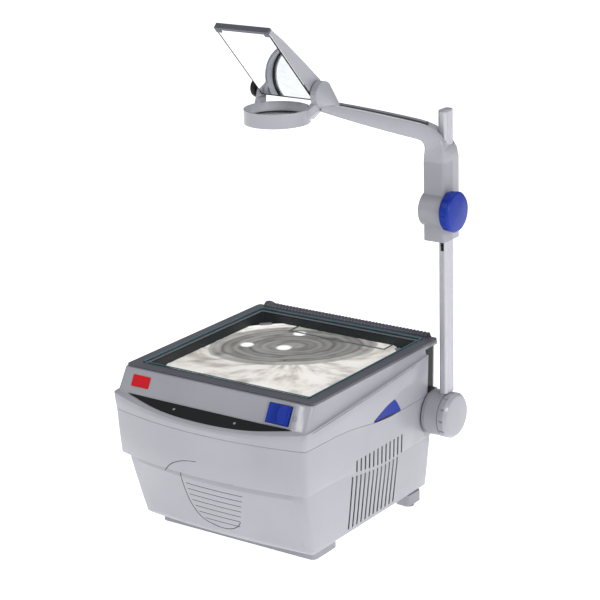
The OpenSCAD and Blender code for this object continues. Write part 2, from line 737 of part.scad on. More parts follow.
cover_inner = [
  ring(flange_x, flange_y, flange_y, cover_top, r = 3),
  ring(flange_x, flange_y, flange_y, cover_top - 3, r = 3),
  cover_ring(rim_x, rim_y + 4, rim_y, cover_top - 4, 0.4, 0.1, inset = wall),
  cover_ring(rim_x + 1, panel_f, rim_y - 1, lip_z + 1, 0.4, 0.6, rise = lip_rise - 2, inset = wall),
  cover_ring(seam_x + 2.5, seam_f + 1, seam_b + 2, lip_z - 3.5, front_bow - 1, side_bow,
    rise = lip_rise, dip = lip_dip, inset = wall),
  cover_ring(seam_x, seam_f, seam_b, seam_z, front_bow, side_bow, drop = seam_drop, inset = wall)
];

// Sail-shaped outline of a latch button in y and z, standing on the seam
fin_front = -22;
fin_rear = 46;
fin_tip = [27, seam_z + 7];
fin_lift = 1.7;
function seam_at(y) = seam_z - seam_drop*side_drop(y);

module fin_outline(grow = 0) {
  polygon(concat(
    [[fin_rear + 1.4*grow, seam_at(fin_rear) + fin_lift - 20*grow]],
    [for (i = [0:4]) let (u = i/4)
      [fin_rear + (fin_tip.x + 3 - fin_rear)*u + 1.4*grow, seam_at(fin_rear) + fin_lift + (fin_tip.y - 1 - seam_at(fin_rear))*pow(u, 0.85)]],
    [[fin_tip.x + grow, fin_tip.y + 1.2*grow], [fin_tip.x - 3, fin_tip.y - 0.6 + 1.4*grow]],
    [for (i = [1:5]) let (u = i/5)
      [fin_tip.x - 3 + (fin_front - fin_tip.x + 3)*u - grow, fin_tip.y - 0.6 + (seam_at(fin_front) + fin_lift + 0.6 - fin_tip.y)*pow(u, 1.35) + 1.4*grow]],
    [[fin_front - grow, seam_at(fin_front) + fin_lift - 20*grow]]
  ));
}

latch_mid = 12;
latch_z = seam_z - 3;
guide_x = seam_x - 26;

// Bracket inside the cover wall that carries the stem of a latch button
module latch_guide(s) {
  shelf_z = fin_tip.y + 2.5;
  mirror([s > 0 ? 0 : 1, 0, 0]) difference() {
    union() {
      translate([guide_x, latch_mid - 9, shelf_z]) cube([seam_x + side_bow - 2 - guide_x, 18, 2.5]);
      translate([guide_x, latch_mid - 9, latch_z - 6]) cube([3, 18, shelf_z + 2.5 - latch_z + 6]);
    }
    xcyl(guide_x - 1, guide_x + 4, 6.4, latch_mid, latch_z, 48);
  }
}

module stage_frame() {
  color("#B4B5BA") difference() {
    union() {
      loft(concat(cover_outer, cover_inner), tube = true);
      for (x = hinge_places) {
        hinge_barrel(x - hinge_len/2 + lug_len + 0.4, x + hinge_len/2 - lug_len - 0.4, 2*hinge_r);
        translate([x - hinge_len/2 + lug_len + 0.4, seam_b - 2.5, cover_hinge_z])
          cube([hinge_len - 2*lug_len - 0.8, cover_hinge_y - seam_b + 2.5, hinge_r]);
      }
      for (s = [-1, 1]) latch_guide(s);
    }
    for (x = hinge_places) hinge_barrel(x - hinge_len/2 - 1, x + hinge_len/2 + 1, 5 + 2*turn_gap);
    for (s = [-1, 1]) translate([s > 0 ? latch_x - 4 : -latch_x - 12, 0, 0]) rotate([90, 0, 90])
      linear_extrude(16) fin_outline(button_gap);
    on_panel(rocker_x, panel_run/2) translate([-bezel_w/2 - 0.2, -bezel_h/2 - 0.2, -30])
      cube([bezel_w + 0.4, bezel_h + 0.4, 60]);
    notch();
  }
}

// Recess at the rear right corner beside the upright post, open to the side and to the rear
notch_x = rim_x - 8;
notch_y = rim_y - 40;
notch_from = seam_z - seam_drop;

module notch() {
  translate([notch_x, notch_y, notch_from - 5]) cube([30, 60, cover_top - notch_from + 1]);
}

// Two walls that close the recess towards the inside
module corner_liner() {
  color("#3A3638") difference() {
    translate([notch_x - 2, notch_y - 2, notch_from + 0.5]) cube([6.5, seam_b - wall - notch_y + 1.5, cover_top - notch_from - 4.7]);
    translate([notch_x, notch_y, notch_from - 5]) cube([30, 60, cover_top]);
  }
}

module stage_rim() {
  color("#6F7079") translate([0, 0, cover_top]) difference() {
    rounded_plate(2*rim_x - 2, 2*rim_y - 2, rim_t, 6);
    translate([0, 0, -1]) rounded_plate(stage_w, stage_d, rim_t + 2, 2);
  }
}

module stage_glass() {
  color("#9CC7C7") translate([0, 0, stage_z + glass_proud - glass_t])
    rounded_plate(stage_w - 1, stage_d - 1, glass_t, 2);
}

module octagon(w, d, c) {
  polygon([[w/2 - c, -d/2], [w/2, -d/2 + c], [w/2, d/2 - c], [w/2 - c, d/2],
    [-w/2 + c, d/2], [-w/2, d/2 - c], [-w/2, -d/2 + c], [-w/2 + c, -d/2]]);
}

tray_w = 2*flange_x - 0.6;
tray_d = 2*flange_y - 0.6;

module fresnel_frame() {
  color("#4A4B52") difference() {
    translate([0, 0, fresnel_z - 3]) rounded_plate(tray_w, tray_d, stage_z + glass_proud - glass_t - fresnel_z + 2.9, 3);
    translate([0, 0, fresnel_z]) rounded_plate(tray_w - 5, tray_d - 5, 60, 2);
    translate([0, 0, fresnel_z - 4]) linear_extrude(8) octagon(tray_w - 18, tray_d - 18, fresnel_cut);
  }
}

module fresnel_lens() {
  color("#D8DEE2") translate([0, 0, fresnel_z]) linear_extrude(fresnel_t)
    octagon(tray_w - 6, tray_d - 6, fresnel_cut);
}

module fresnel_clips() {
  color("#85868E") for (sx = [-1, 1], sy = [-1, 1])
    translate([sx*(tray_w/2 - 3 - fresnel_cut/2), sy*(tray_d/2 - 3 - fresnel_cut/2), fresnel_z])
      rotate([0, 0, sx*sy > 0 ? -45 : 45]) {
        translate([-9, sy > 0 ? 0.4 : -3.4, 0]) cube([18, 3, fresnel_t + 0.2]);
        translate([-9, sy > 0 ? -5 : -3.4, fresnel_t + 0.2]) cube([18, 8.4, 1.4]);
      }
}

bail_y = stage_d/2 - 34;

module lens_bail() {
  z = fresnel_z + fresnel_t + 1.1;
  color("#A9ACB1") {
    xcyl(-70, 100, 2, bail_y, z, 24);
    for (x = [-69, 99]) translate([x, bail_y, z]) rotate([-90, 0, 0]) cylinder(h = 26, d = 2, $fn = 24);
  }
}

// Point on the sloping band between the panel and the lip; f = 0 at the panel, 1 at the lip
strip_x = 141;
strip_in = 0.1;
strip_out = 0.7;
function strip_point(x, f, proud) =
  let (
    t = x/(seam_x + 2),
    lip = [-(seam_f + 1) - (front_bow - 1)*(1 - t*t), lip_z - lip_dip*(1 - t*t)],
    top = [-(panel_f + 0.5), panel_z],
    p = top + (lip - top)*f,
    n = [lip.y - top.y, -(lip.x - top.x)]/norm(lip - top)
  )
  [x, p.x + n.x*proud, p.y + n.y*proud];

module front_strip() {
  nx = 24;
  w = nx + 1;
  xs = [for (i = [0:nx]) -strip_x + 2*strip_x*i/nx];
  function depth(x) = 0.72*(1 - pow(x/strip_x, 4)) + 0.03;
  color("#17181B") polyhedron(
    points = concat(
      [for (x = xs) strip_point(x, 0.03 + depth(x), strip_out)], [for (x = xs) strip_point(x, 0.03, strip_out)],
      [for (x = xs) strip_point(x, 0.03 + depth(x), strip_in)], [for (x = xs) strip_point(x, 0.03, strip_in)]),
    faces = concat(
      [for (i = [0:nx - 1]) each [[i, i + w, i + w + 1], [i, i + w + 1, i + 1]]],
      [for (i = [0:nx - 1]) let (a = i + 2*w) each [[a, a + w + 1, a + w], [a, a + 1, a + w + 1]]],
      [for (i = [0:nx - 1]) each [[i, i + 1, i + 2*w + 1], [i, i + 2*w + 1, i + 2*w]]],
      [for (i = [0:nx - 1]) let (a = i + w) each [[a, a + 2*w, a + 2*w + 1], [a, a + 2*w + 1, a + 1]]],
      [[0, 2*w, 3*w], [0, 3*w, w], [nx, nx + w, nx + 3*w], [nx, nx + 3*w, nx + 2*w]]
    ));
}

module strip_lights() {
  color("#8C8D93") for (x = [-0.37*strip_x, 0.37*strip_x]) {
    a = strip_point(x, 0.4, strip_out);
    b = strip_point(x, 0.4, strip_out + 1.05);
    translate(a + 0.05*(b - a)) rotate([atan2(a.y - b.y, b.z - a.z), 0, 0]) cylinder(h = 0.6, d = 4, $fn = 48);
  }
}

module badge() {
  color("#D8202C") on_panel(-125, panel_run/2 + 2) translate([0, 0, 0.1]) rounded_plate(31, 17, 0.8, 2);
}

module power_mark() {
  color("#D9D9DD") on_panel(rocker_x + rocker_w/2 + 7, panel_run/2 - 1) translate([0, 0, 0.1]) difference() {
    cylinder(h = 0.5, d = 7, $fn = 48);
    translate([0, 0, -1]) cylinder(h = 3, d = 5, $fn = 48);
  }
}

bezel_w = rocker_w + 2*button_gap + 3.6;
bezel_h = rocker_h + 2*button_gap + 3.6;
bezel_deep = 11;
rocker_pin_d = 3;
rocker_axis = -3;

module switch_bezel() {
  color("#A0A1A8") on_panel(rocker_x, panel_run/2) difference() {
    union() {
      translate([-bezel_w/2, -bezel_h/2, -bezel_deep]) cube([bezel_w, bezel_h, bezel_deep + 0.5]);
      translate([0, 0, 0.35]) rounded_plate(bezel_w + 1.6, bezel_h + 1, 0.8, 3);
    }
    translate([-rocker_w/2 - button_gap, -rocker_h/2 - button_gap, -bezel_deep + 1.4])
      cube([rocker_w + 2*button_gap, rocker_h + 2*button_gap, 30]);
    translate([0, bezel_h/2 + 1, rocker_axis]) rotate([90, 0, 0])
      cylinder(h = bezel_h + 2, d = rocker_pin_d + 2*turn_gap, $fn = 32);
  }
}

module power_rocker() {
  color("#2338A6") on_panel(rocker_x, panel_run/2) translate([0, 0, rocker_axis]) {
    rotate([0, -rocker_travel/2, 0]) translate([0, rocker_h/2, 0]) rotate([90, 0, 0]) linear_extrude(rocker_h)
      polygon([[-rocker_w/2, 3], [-rocker_w/2 + 0.6, 7.2], [-rocker_w/4, 5.9], [0, 5.4], [rocker_w/4, 5.9],
        [rocker_w/2 - 0.6, 7.2], [rocker_w/2, 3], [6, -3.4], [-6, -3.4]]);
    translate([0, bezel_h/2 - 0.4, 0]) rotate([90, 0, 0]) cylinder(h = bezel_h - 0.8, d = rocker_pin_d, $fn = 32);
  }
}

latch_x = seam_x + side_bow - 3.6;

module latch(s) {
  color("#2746B4") mirror([s > 0 ? 0 : 1, 0, 0]) {
    translate([latch_x, 0, 0]) rotate([90, 0, 90]) linear_extrude(4.2) fin_outline(0);
    xcyl(guide_x - 2, latch_x + 1, 6, latch_mid, latch_z, 48);
    translate([guide_x + 9, latch_mid - 6, latch_z - 24]) cube([3, 12, 28]);
  }
}

module right_latch() { latch(1); }
module left_latch() { latch(-1); }

// --- Carriage, arm and head ---

split_y = post_y - 2;

module car_body(y0, y1) {
  intersection() {
    translate([car_x0, car_y0, car_z]) translate([car_w/2, car_d/2, 0]) rounded_plate(car_w, car_d, car_h, 4);
    translate([car_x0 - 1, y0, car_z - 1]) cube([car_w + 2, y1 - y0, car_h + 2]);
  }
}

module post_bore(gap) {
  translate([post_x, post_y, car_z - 10]) linear_extrude(car_h + 200)
    rounded_outline(post_w + 2*gap, post_d + 2*gap, 4 + gap);
}

module screw_bore(d) {
  for (z = [car_z + 10, car_z + car_h - 10])
    translate([car_x0 + 7, car_y0 + 14, z]) rotate([-90, 0, 0]) cylinder(h = car_d, d = d, $fn = 32);
}

bulge_d = 50;

module carriage_front() {
  color("#A9A9B0") difference() {
    union() {
      car_body(car_y0, split_y - 0.1);
      intersection() {
        xcyl(car_x0, car_x1, bulge_d, pinion_y + 2, pinion_z, 96);
        translate([car_x0, car_y0 - 20, car_z]) cube([car_w, 40, car_h]);
      }
    }
    post_bore(slide_gap);
    screw_bore(3);
    xcyl(post_x - rack_w/2 - 0.8, post_x + rack_w/2 + 0.8, 2*(pitch_r + gear_m) + 1.4, pinion_y, pinion_z, 64);
    xcyl(post_x - 12, car_x1 + 1, 5 + 2*turn_gap, pinion_y, pinion_z);
    xcyl(car_x1 - 1.5, car_x1 + 1, 30, pinion_y, pinion_z);
  }
}

module carriage_back() {
  color("#B7B7BE") difference() {
    car_body(split_y + 0.1, car_y1);
    post_bore(slide_gap);
    screw_bore(3.2);
    translate([car_x0 + 7, car_y1 - 3, 0]) for (z = [car_z + 10, car_z + car_h - 10])
      translate([0, 0, z]) rotate([-90, 0, 0]) cylinder(h = 5, d = 6.4, $fn = 48);
    translate([post_x - 4, post_y + post_d/2 - 1, car_z + 30]) cube([8, 3.4, 50]);
  }
}

module friction_pad() {
  color("#5A4B3C") translate([post_x - 3.9, post_y + post_d/2 + 0.15, car_z + 30.1]) cube([7.8, 2.2, 49.8]);
}

module carriage_screws() {
  color("#77797E") for (z = [car_z + 10, car_z + car_h - 10]) translate([car_x0 + 7, car_y0 + 15, z]) rotate([-90, 0, 0]) {
    cylinder(h = car_d - 18, d = 3, $fn = 32);
    translate([0, 0, car_d - 18]) cylinder(h = 2.4, d = 6, $fn = 48);
  }
}

elbow_up = 3.5;
elbow_end = 90 - arm_rise;
elbow_n = 7;
straight_n = 6;
arm_n = elbow_n + straight_n;
head_s = 62;
bend_s = arm_s0 - elbow_r*(1 - cos(elbow_end));
bend_z = car_top + elbow_up + elbow_r*sin(elbow_end);

function mix(a, b, t) = a + (b - a)*t;

// Frame of the arm at station i: centre, lean of the section, yaw, depth and width
function arm_frame(i) =
  i == 0 ? [arm_s0, car_top, 0, 0, car_w, car_d] :
  i <= elbow_n ? let (t = (i - 1)/(elbow_n - 1), a = elbow_end*t)
    [arm_s0 - elbow_r*(1 - cos(a)), car_top + elbow_up + elbow_r*sin(a), a, arm_yaw*smooth(t*1.1),
      mix(car_w, arm_t, smooth(t)), mix(car_d, arm_w, t)] :
  let (t = (i - elbow_n)/straight_n)
    [mix(bend_s, head_s, t), bend_z + (bend_s - head_s)*t*tan(arm_rise), elbow_end, arm_yaw,
      mix(arm_t, arm_tip_t, t*t), mix(arm_w, arm_w - 8, t)];

function arm_point(f, p, q) =
  [f[0]*cos(arm_yaw) + p*cos(f[3])*cos(f[2]) - q*sin(f[3]),
    f[0]*sin(arm_yaw) + p*sin(f[3])*cos(f[2]) + q*cos(f[3]),
    f[1] + p*sin(f[2])];

// Rounded section between p0 and p1 in depth, q half width
function arm_section(f, p0, p1, q, r) =
  [for (c = [[1, 1, 0], [0, 1, 90], [0, 0, 180], [1, 0, 270]], k = [0:3])
    let (a = c[2] + 30*k, pc = c[0] == 1 ? p1 - r : p0 + r, qc = c[1] == 1 ? q - r : -q + r)
    arm_point(f, pc + r*cos(a), qc + r*sin(a))];

module arm_beam() {
  loft([for (i = [0:arm_n]) let (f = arm_frame(i)) arm_section(f, -f[4]/2, f[4]/2, f[5]/2, 4)]);
}

module arm() {
  color("#ADADB4") difference() {
    arm_beam();
    loft([for (i = [elbow_n - 1:arm_n]) let (f = arm_frame(i), k = i == arm_n ? 2 : 0)
      arm_section([f[0] - k, f[1], f[2], f[3]], f[4]/2 - channel_deep, f[4]/2 + 6, f[5]/2 - 5, 1)]);
    post_bore(slide_gap + 0.4);
  }
}

module arm_channel() {
  color("#3B3C43") difference() {
    loft([for (i = [elbow_n - 1:arm_n]) let (f = arm_frame(i))
      arm_section(f, f[4]/2 - channel_deep + 0.05, f[4]/2 - channel_deep + 2.6, f[5]/2 - 5.2, 1)]);
    post_bore(slide_gap + 0.4);
  }
}

boss_x = mirror_w/2 + 2;
boss_t = 10;
boss_d = 39;

// Room between the two hinge bosses, where the foot of the mirror turns
module mirror_pocket() {
  translate([-mirror_w/2 - 0.7, -ring_d, hinge_z - 10.5]) cube([mirror_w + 1.4, 2*ring_d, 60]);
}

module head_bracket() {
  tip = arm_frame(arm_n);
  back = arm_frame(arm_n - 1);
  color("#B1B1B9") difference() {
    union() {
      hull() {
        xcyl(boss_x, boss_x + boss_t, boss_d, hinge_y, hinge_z, 64);
        for (f = [tip, back], q = [-9, 9]) translate(arm_point(f, f[4]/2 - 1, q)) sphere(d = 2, $fn = 16);
      }
      hull() {
        xcyl(boss_x, boss_x + boss_t, 16, hinge_y - 2, hinge_z - 9, 32);
        translate([ring_d/2 - 9, 6, ring_z + 4]) cube([6, 22, 12]);
        translate(arm_point(tip, -3, 0)) sphere(d = 6, $fn = 24);
      }
    }
    xcyl(boss_x - 4, boss_x + boss_t - 2.5, pin_d + 2*turn_gap, hinge_y, hinge_z);
    translate([0, 0, ring_z - 1]) cylinder(h = 60, d = ring_d, $fn = 128);
    mirror_pocket();
    arm_beam();
  }
}

module lens_ring() {
  color("#B8B8BE") difference() {
    union() {
      difference() {
        translate([0, 0, ring_z]) cylinder(h = ring_h, d = ring_d, $fn = 128);
        translate([-ring_d, -ring_d*0.9, ring_z + ring_h - 1]) rotate([9, 0, 0]) translate([0, -20, -1.5])
          cube([2*ring_d, ring_d*0.9 + 40, 30]);
      }
      hull() {
        xcyl(-boss_x - 6, -boss_x, 14, hinge_y, hinge_z, 48);
        translate([-ring_d/2 + 2, 6, ring_z + 6]) cube([5, 22, 8]);
      }
    }
    translate([0, 0, ring_z + 3]) cylinder(h = 60, d = ring_d - 2*ring_wall, $fn = 128);
    translate([0, 0, ring_z - 1]) cylinder(h = 60, d = ring_d - 2*ring_wall - 5, $fn = 128);
    xcyl(-boss_x - 8, -boss_x + 4, pin_d + 2*turn_gap, hinge_y, hinge_z);
    mirror_pocket();
  }
}

module objective_lens() {
  r = ring_d/2 - ring_wall - 0.1;
  color("#DCE8EC") translate([0, 0, ring_z + 3]) rotate_extrude($fn = 128)
    polygon(concat([[0, 0], [r, 0]], [for (i = [0:8]) let (x = r*(1 - i/8)) [x, 1.5 + 4*(1 - pow(x/r, 2))]]));
}

module lens_retainer() {
  r = ring_d/2 - ring_wall - 0.1;
  color("#2A2B2F") translate([0, 0, ring_z + 4.9]) difference() {
    cylinder(h = 2, r = r, $fn = 128);
    translate([0, 0, -1]) cylinder(h = 4, r = r - 2, $fn = 128);
  }
}

module pinion_shaft() {
  pitch = 360/pinion_teeth;
  color("#8E9196") {
    xcyl(post_x - 11.5, knob_x + knob_w - 4, 5, pinion_y, pinion_z);
    translate([post_x - rack_w/2 + 0.3, pinion_y, pinion_z]) rotate([90, 0, 90]) linear_extrude(rack_w - 0.6) {
      circle(r = pitch_r - 1.1*gear_m, $fn = 48);
      for (i = [0:pinion_teeth - 1]) rotate(i*pitch) polygon([
        [pitch_r - 1.4*gear_m, -1.02*gear_m + tooth_play/2], [pitch_r, -PI*gear_m/4 + tooth_play/2],
        [pitch_r + 0.8*gear_m, -0.36*gear_m + tooth_play/4], [pitch_r + 0.8*gear_m, 0.36*gear_m - tooth_play/4],
        [pitch_r, PI*gear_m/4 - tooth_play/2], [pitch_r - 1.4*gear_m, 1.02*gear_m - tooth_play/2]]);
    }
  }
}

module focus_knob() {
  color("#1F45A8") difference() {
    translate([knob_x, pinion_y, pinion_z]) rotate([0, 90, 0]) rotate_extrude($fn = 128)
      polygon([[0, 0], [knob_d/2 - 2, 0], [knob_d/2 - 1, 1], [knob_d/2, knob_w - 3], [knob_d/2 - 2.5, knob_w],
        [0, knob_w + 0.8]]);
    xcyl(knob_x - 1, knob_x + knob_w - 4, 5, pinion_y, pinion_z);
    for (i = [0:7]) translate([knob_x, pinion_y, pinion_z]) rotate([i*45, 0, 0])
      translate([2, -2, knob_d/2 - 1.8]) cube([knob_w - 7, 4, 5]);
  }
}

// --- Mirror: local x across, y along the glass away from the hinge, z out of the back ---

module on_mirror() {
  translate([0, hinge_y, hinge_z]) rotate([0, 0, 180]) rotate([mirror_lean, 0, 0]) mirror([1, 0, 0]) children();
}

glass_at = -7.7;
back_line = [[mirror_l - 2, glass_at + 5.2], [mirror_l*0.78, 4.3], [mirror_l*0.55, 9.4], [mirror_l*0.33, 14.3],
  [mirror_l*0.12, 18.4], [8, 19.6], [1, 18], [-5, 13], [-9, 5], [-9, -2], [-5, glass_at]];

module mirror_frame() {
  inner = [for (p = back_line) [p.x - (p.x > mirror_l*0.9 ? 3 : p.x < 2 ? -2.6 : 0.8), p.y - (p.y > 0 ? 2.6 : 0)]];
  color("#B0B0BA") on_mirror() difference() {
    translate([-mirror_w/2, 0, 0]) rotate([90, 0, 90]) linear_extrude(mirror_w)
      polygon(concat([[mirror_l - 2, glass_at]], back_line));
    translate([-mirror_w/2 + 2.5, 0, 0]) rotate([90, 0, 90]) linear_extrude(mirror_w - 5)
      polygon(concat([[mirror_l - 5, glass_at - 1]], [for (i = [0:9]) inner[i]], [[-6, glass_at + 3], [4, glass_at - 1]]));
    xcyl(-mirror_w, mirror_w, pin_d, 0, 0);
  }
}

module mirror_glass() {
  color("#E4EAEE") on_mirror() translate([-mirror_w/2 + 0.6, 1, glass_at - 2.6]) cube([mirror_w - 1.2, mirror_l - 3, 2.5]);
}

module mirror_rail() {
  color("#56575E") on_mirror() {
    translate([-mirror_w/2 - 0.4, mirror_l - 2, glass_at - 3.2]) cube([mirror_w + 0.8, 4, 8.4]);
    for (s = [-1, 1]) translate([s*(mirror_w/2 - 4) - 4.5, mirror_l - 8, glass_at - 3.4]) cube([9, 7, 0.8]);
  }
}

module mirror_pin() {
  color("#8E9196") xcyl(-boss_x - 14, boss_x + boss_t - 3, pin_d, hinge_y, hinge_z);
}

module tilt_knob() {
  color("#3C3D43") difference() {
    translate([-boss_x - 6.5, hinge_y, hinge_z]) rotate([0, -90, 0]) rotate_extrude($fn = 96)
      polygon([[0, 0], [12, 0], [13.5, 1.5], [13.5, 6], [12, 8.5], [0, 9.5]]);
    xcyl(-boss_x - 14, 0, pin_d, hinge_y, hinge_z);
    for (i = [0:11]) translate([-boss_x - 16, hinge_y, hinge_z]) rotate([i*30, 0, 0]) translate([-1, -1, 12.8]) cube([9, 2, 3]);
  }
}

lower_case();
grip_panel();
front_foot();
rear_feet();
foot_pads();
band_case();
hinge_pins();
chassis_deck();
lamp_house();
lamp_holder();
halogen_lamp();
lamp_reflector();
condenser_lens();
thermal_cutout();
transformer_core();
transformer_coils();
fan_frame();
fan_rotor();
power_inlet();
case_screws();
clamp_bracket();
clamp_stud();
stage_frame();
stage_rim();
stage_glass();
fresnel_frame();
fresnel_lens();
fresnel_clips();
lens_bail();
front_strip();
badge();
strip_lights();
switch_bezel();
power_mark();
corner_liner();
power_rocker();
right_latch();
left_latch();
post_hub();
post();
post_cap();
gear_rack();
clamp_knob();
carriage_front();
carriage_back();
carriage_screws();
friction_pad();
arm();
arm_channel();
head_bracket();
lens_ring();
objective_lens();
lens_retainer();
pinion_shaft();
focus_knob();
mirror_frame();
mirror_glass();
mirror_rail();
mirror_pin();
tilt_knob();
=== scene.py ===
# Overhead projector: refined surfaces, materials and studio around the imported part
import bpy
import bmesh
import json
import math
import numpy as np
from mathutils import Matrix, Vector


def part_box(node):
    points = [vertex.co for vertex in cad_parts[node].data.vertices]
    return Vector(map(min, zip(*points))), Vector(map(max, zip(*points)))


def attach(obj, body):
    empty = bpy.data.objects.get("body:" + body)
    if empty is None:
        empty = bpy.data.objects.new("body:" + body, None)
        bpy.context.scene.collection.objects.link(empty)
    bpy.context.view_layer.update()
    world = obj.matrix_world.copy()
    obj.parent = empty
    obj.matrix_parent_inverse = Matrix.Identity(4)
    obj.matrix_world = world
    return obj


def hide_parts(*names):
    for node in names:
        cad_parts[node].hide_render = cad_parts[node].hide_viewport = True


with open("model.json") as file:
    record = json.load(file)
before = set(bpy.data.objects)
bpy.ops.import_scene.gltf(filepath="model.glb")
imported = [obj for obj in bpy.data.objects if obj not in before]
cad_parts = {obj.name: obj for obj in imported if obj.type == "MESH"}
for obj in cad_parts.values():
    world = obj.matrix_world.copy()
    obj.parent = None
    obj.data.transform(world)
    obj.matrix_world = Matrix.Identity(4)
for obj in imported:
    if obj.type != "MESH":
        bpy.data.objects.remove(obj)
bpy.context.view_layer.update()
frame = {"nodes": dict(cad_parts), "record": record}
nodes = frame["nodes"]
bodyOf = {n: b for b, names in frame["record"]["behaviour"]["bodies"].items() for n in names}
slotOf = {s["node"]: s["material_slot"] for s in frame["record"]["subparts"]}
print("frame loaded:", len(nodes), "nodes")

# camera: place and lens of the studio shot
camSet = {"azimuth": 35.48, "elevation": 17.66, "roll": -1.57, "distance": 2.891,
          "side": 0.0247, "height": 0.3262, "lens": 121.68}


def makeCamera(s):
    # looks along -back at a point beside and above the origin, rolled about that line
    az, el, roll = (math.radians(s[k]) for k in ("azimuth", "elevation", "roll"))
    right = Vector((math.cos(az), math.sin(az), 0))
    back = Vector((math.sin(az) * math.cos(el), -math.cos(az) * math.cos(el), math.sin(el)))
    up = back.cross(right)
    camRight = right * math.cos(roll) + up * math.sin(roll)
    camUp = up * math.cos(roll) - right * math.sin(roll)
    data = bpy.data.cameras.new("studioCamera")
    data.lens = s["lens"]
    data.sensor_width = 36
    data.clip_start, data.clip_end = 0.05, 60
    cam = bpy.data.objects.new("studioCamera", data)
    turn = Matrix((camRight, camUp, back)).transposed().to_4x4()
    place = right * s["side"] + Vector((0, 0, s["height"])) + back * s["distance"]
    cam.matrix_world = Matrix.Translation(place) @ turn
    bpy.context.scene.collection.objects.link(cam)
    bpy.context.scene.camera = cam


makeCamera(camSet)


def linear(hexText):
    # sRGB hex to linear colour
    c = np.array([int(hexText[i:i + 2], 16) / 255 for i in (1, 3, 5)])
    v = np.where(c <= 0.04045, c / 12.92, ((c + 0.055) / 1.055) ** 2.4)
    return (*v.tolist(), 1.0)


def addNode(tree, kind, settings=None, links=None, values=None):
    # adds one shader node: its properties, the values of its inputs, and links into its inputs
    node = tree.nodes.new("ShaderNode" + kind)
    for key, value in (settings or {}).items():
        setattr(node, key, value)
    for key, value in (values or {}).items():
        node.inputs[key].default_value = value
    for key, socket in (links or {}).items():
        tree.links.new(socket, node.inputs[key])
    return node


def newMaterial(name, **sockets):
    # a material with its shader's plain values; returns material, tree, shader and object coordinates
    mat = bpy.data.materials.new(name)
    mat.use_nodes = True
    tree = mat.node_tree
    shader = tree.nodes["Principled BSDF"]
    for key, value in sockets.items():
        shader.inputs[key.replace("_", " ")].default_value = value
    coords = addNode(tree, "TexCoord").outputs["Object"]
    return mat, tree, shader, coords


def ramp(tree, source, stops):
    # colour ramp over a 0..1 value; stops are (place, sRGB hex)
    node = addNode(tree, "ValToRGB", links={"Fac": source})
    while len(node.color_ramp.elements) < len(stops):
        node.color_ramp.elements.new(0.5)
    for element, (place, colour) in zip(node.color_ramp.elements, stops):
        element.position = place
        element.color = linear(colour)
    return node.outputs["Color"]


def remap(tree, source, low, high):
    # takes 0..1 to low..high
    node = addNode(tree, "MapRange", links={"Value": source}, values={"To Min": low, "To Max": high})
    return node.outputs["Result"]


def mouldedPlastic(name, dark, light, rough=(0.38, 0.5), grain=1.1, depth=0.12, coat=0.0, shine=0.5):
    # ABS or polystyrene from a spark-eroded mould: a fine pebble grain breaks up the gloss, and slow
    # flow marks shift colour and sheen by a hair. grain is the pebble size in mm, drawn coarser than real
    mat, tree, shader, coords = newMaterial(name, IOR=1.5, Specular_IOR_Level=shine, Coat_Weight=coat,
                                            Coat_Roughness=0.16)
    flow = addNode(tree, "TexNoise", links={"Vector": coords},
                   values={"Scale": 9.0, "Detail": 3.0}).outputs["Fac"]
    pebble = addNode(tree, "TexNoise", links={"Vector": coords},
                     values={"Scale": 1000 / grain, "Detail": 2.0, "Roughness": 0.6}).outputs["Fac"]
    tree.links.new(ramp(tree, flow, [(0.3, dark), (0.7, light)]), shader.inputs["Base Color"])
    tree.links.new(remap(tree, pebble, *rough), shader.inputs["Roughness"])
    bump = addNode(tree, "Bump", links={"Height": pebble}, values={"Strength": depth, "Distance": 0.0004})
    tree.links.new(bump.outputs["Normal"], shader.inputs["Normal"])
    return mat


def brushedMetal(name, dark, light, rough=0.32, metallic=1.0, stretch=(40, 40, 3)):
    # drawn or brushed metal: fine streaks along Z pull the highlight out
    mat, tree, shader, coords = newMaterial(name, Metallic=metallic)
    place = addNode(tree, "Mapping", links={"Vector": coords}, values={"Scale": stretch}).outputs["Vector"]
    streak = addNode(tree, "TexNoise", links={"Vector": place},
                     values={"Scale": 24.0, "Detail": 4.0}).outputs["Fac"]
    tree.links.new(ramp(tree, streak, [(0.3, dark), (0.7, light)]), shader.inputs["Base Color"])
    tree.links.new(remap(tree, streak, rough - 0.07, rough + 0.09), shader.inputs["Roughness"])
    bump = addNode(tree, "Bump", links={"Height": streak}, values={"Strength": 0.08, "Distance": 0.0003})
    tree.links.new(bump.outputs["Normal"], shader.inputs["Normal"])
    return mat


def floatGlass(name, tint, alpha):
    # float glass: nearly clear, a cold tint, and a mirror-smooth face that picks up the soft boxes;
    # faint wiping marks change its gloss
    mat, tree, shader, coords = newMaterial(name, Base_Color=linear(tint), Alpha=alpha, IOR=1.52)
    smear = addNode(tree, "TexNoise", links={"Vector": coords},
                    values={"Scale": 14.0, "Detail": 5.0}).outputs["Fac"]
    tree.links.new(remap(tree, smear, 0.02, 0.09), shader.inputs["Roughness"])
    return mat


def silveredMirror(name):
    # front-silvered float glass: full reflection with a trace of dust
    mat, tree, shader, coords = newMaterial(name, Metallic=1.0)
    dust = addNode(tree, "TexNoise", links={"Vector": coords},
                   values={"Scale": 60.0, "Detail": 6.0}).outputs["Fac"]
    tree.links.new(ramp(tree, dust, [(0.35, "#F2F5F7"), (0.75, "#E6EAEC")]), shader.inputs["Base Color"])
    tree.links.new(remap(tree, dust, 0.01, 0.05), shader.inputs["Roughness"])
    return mat


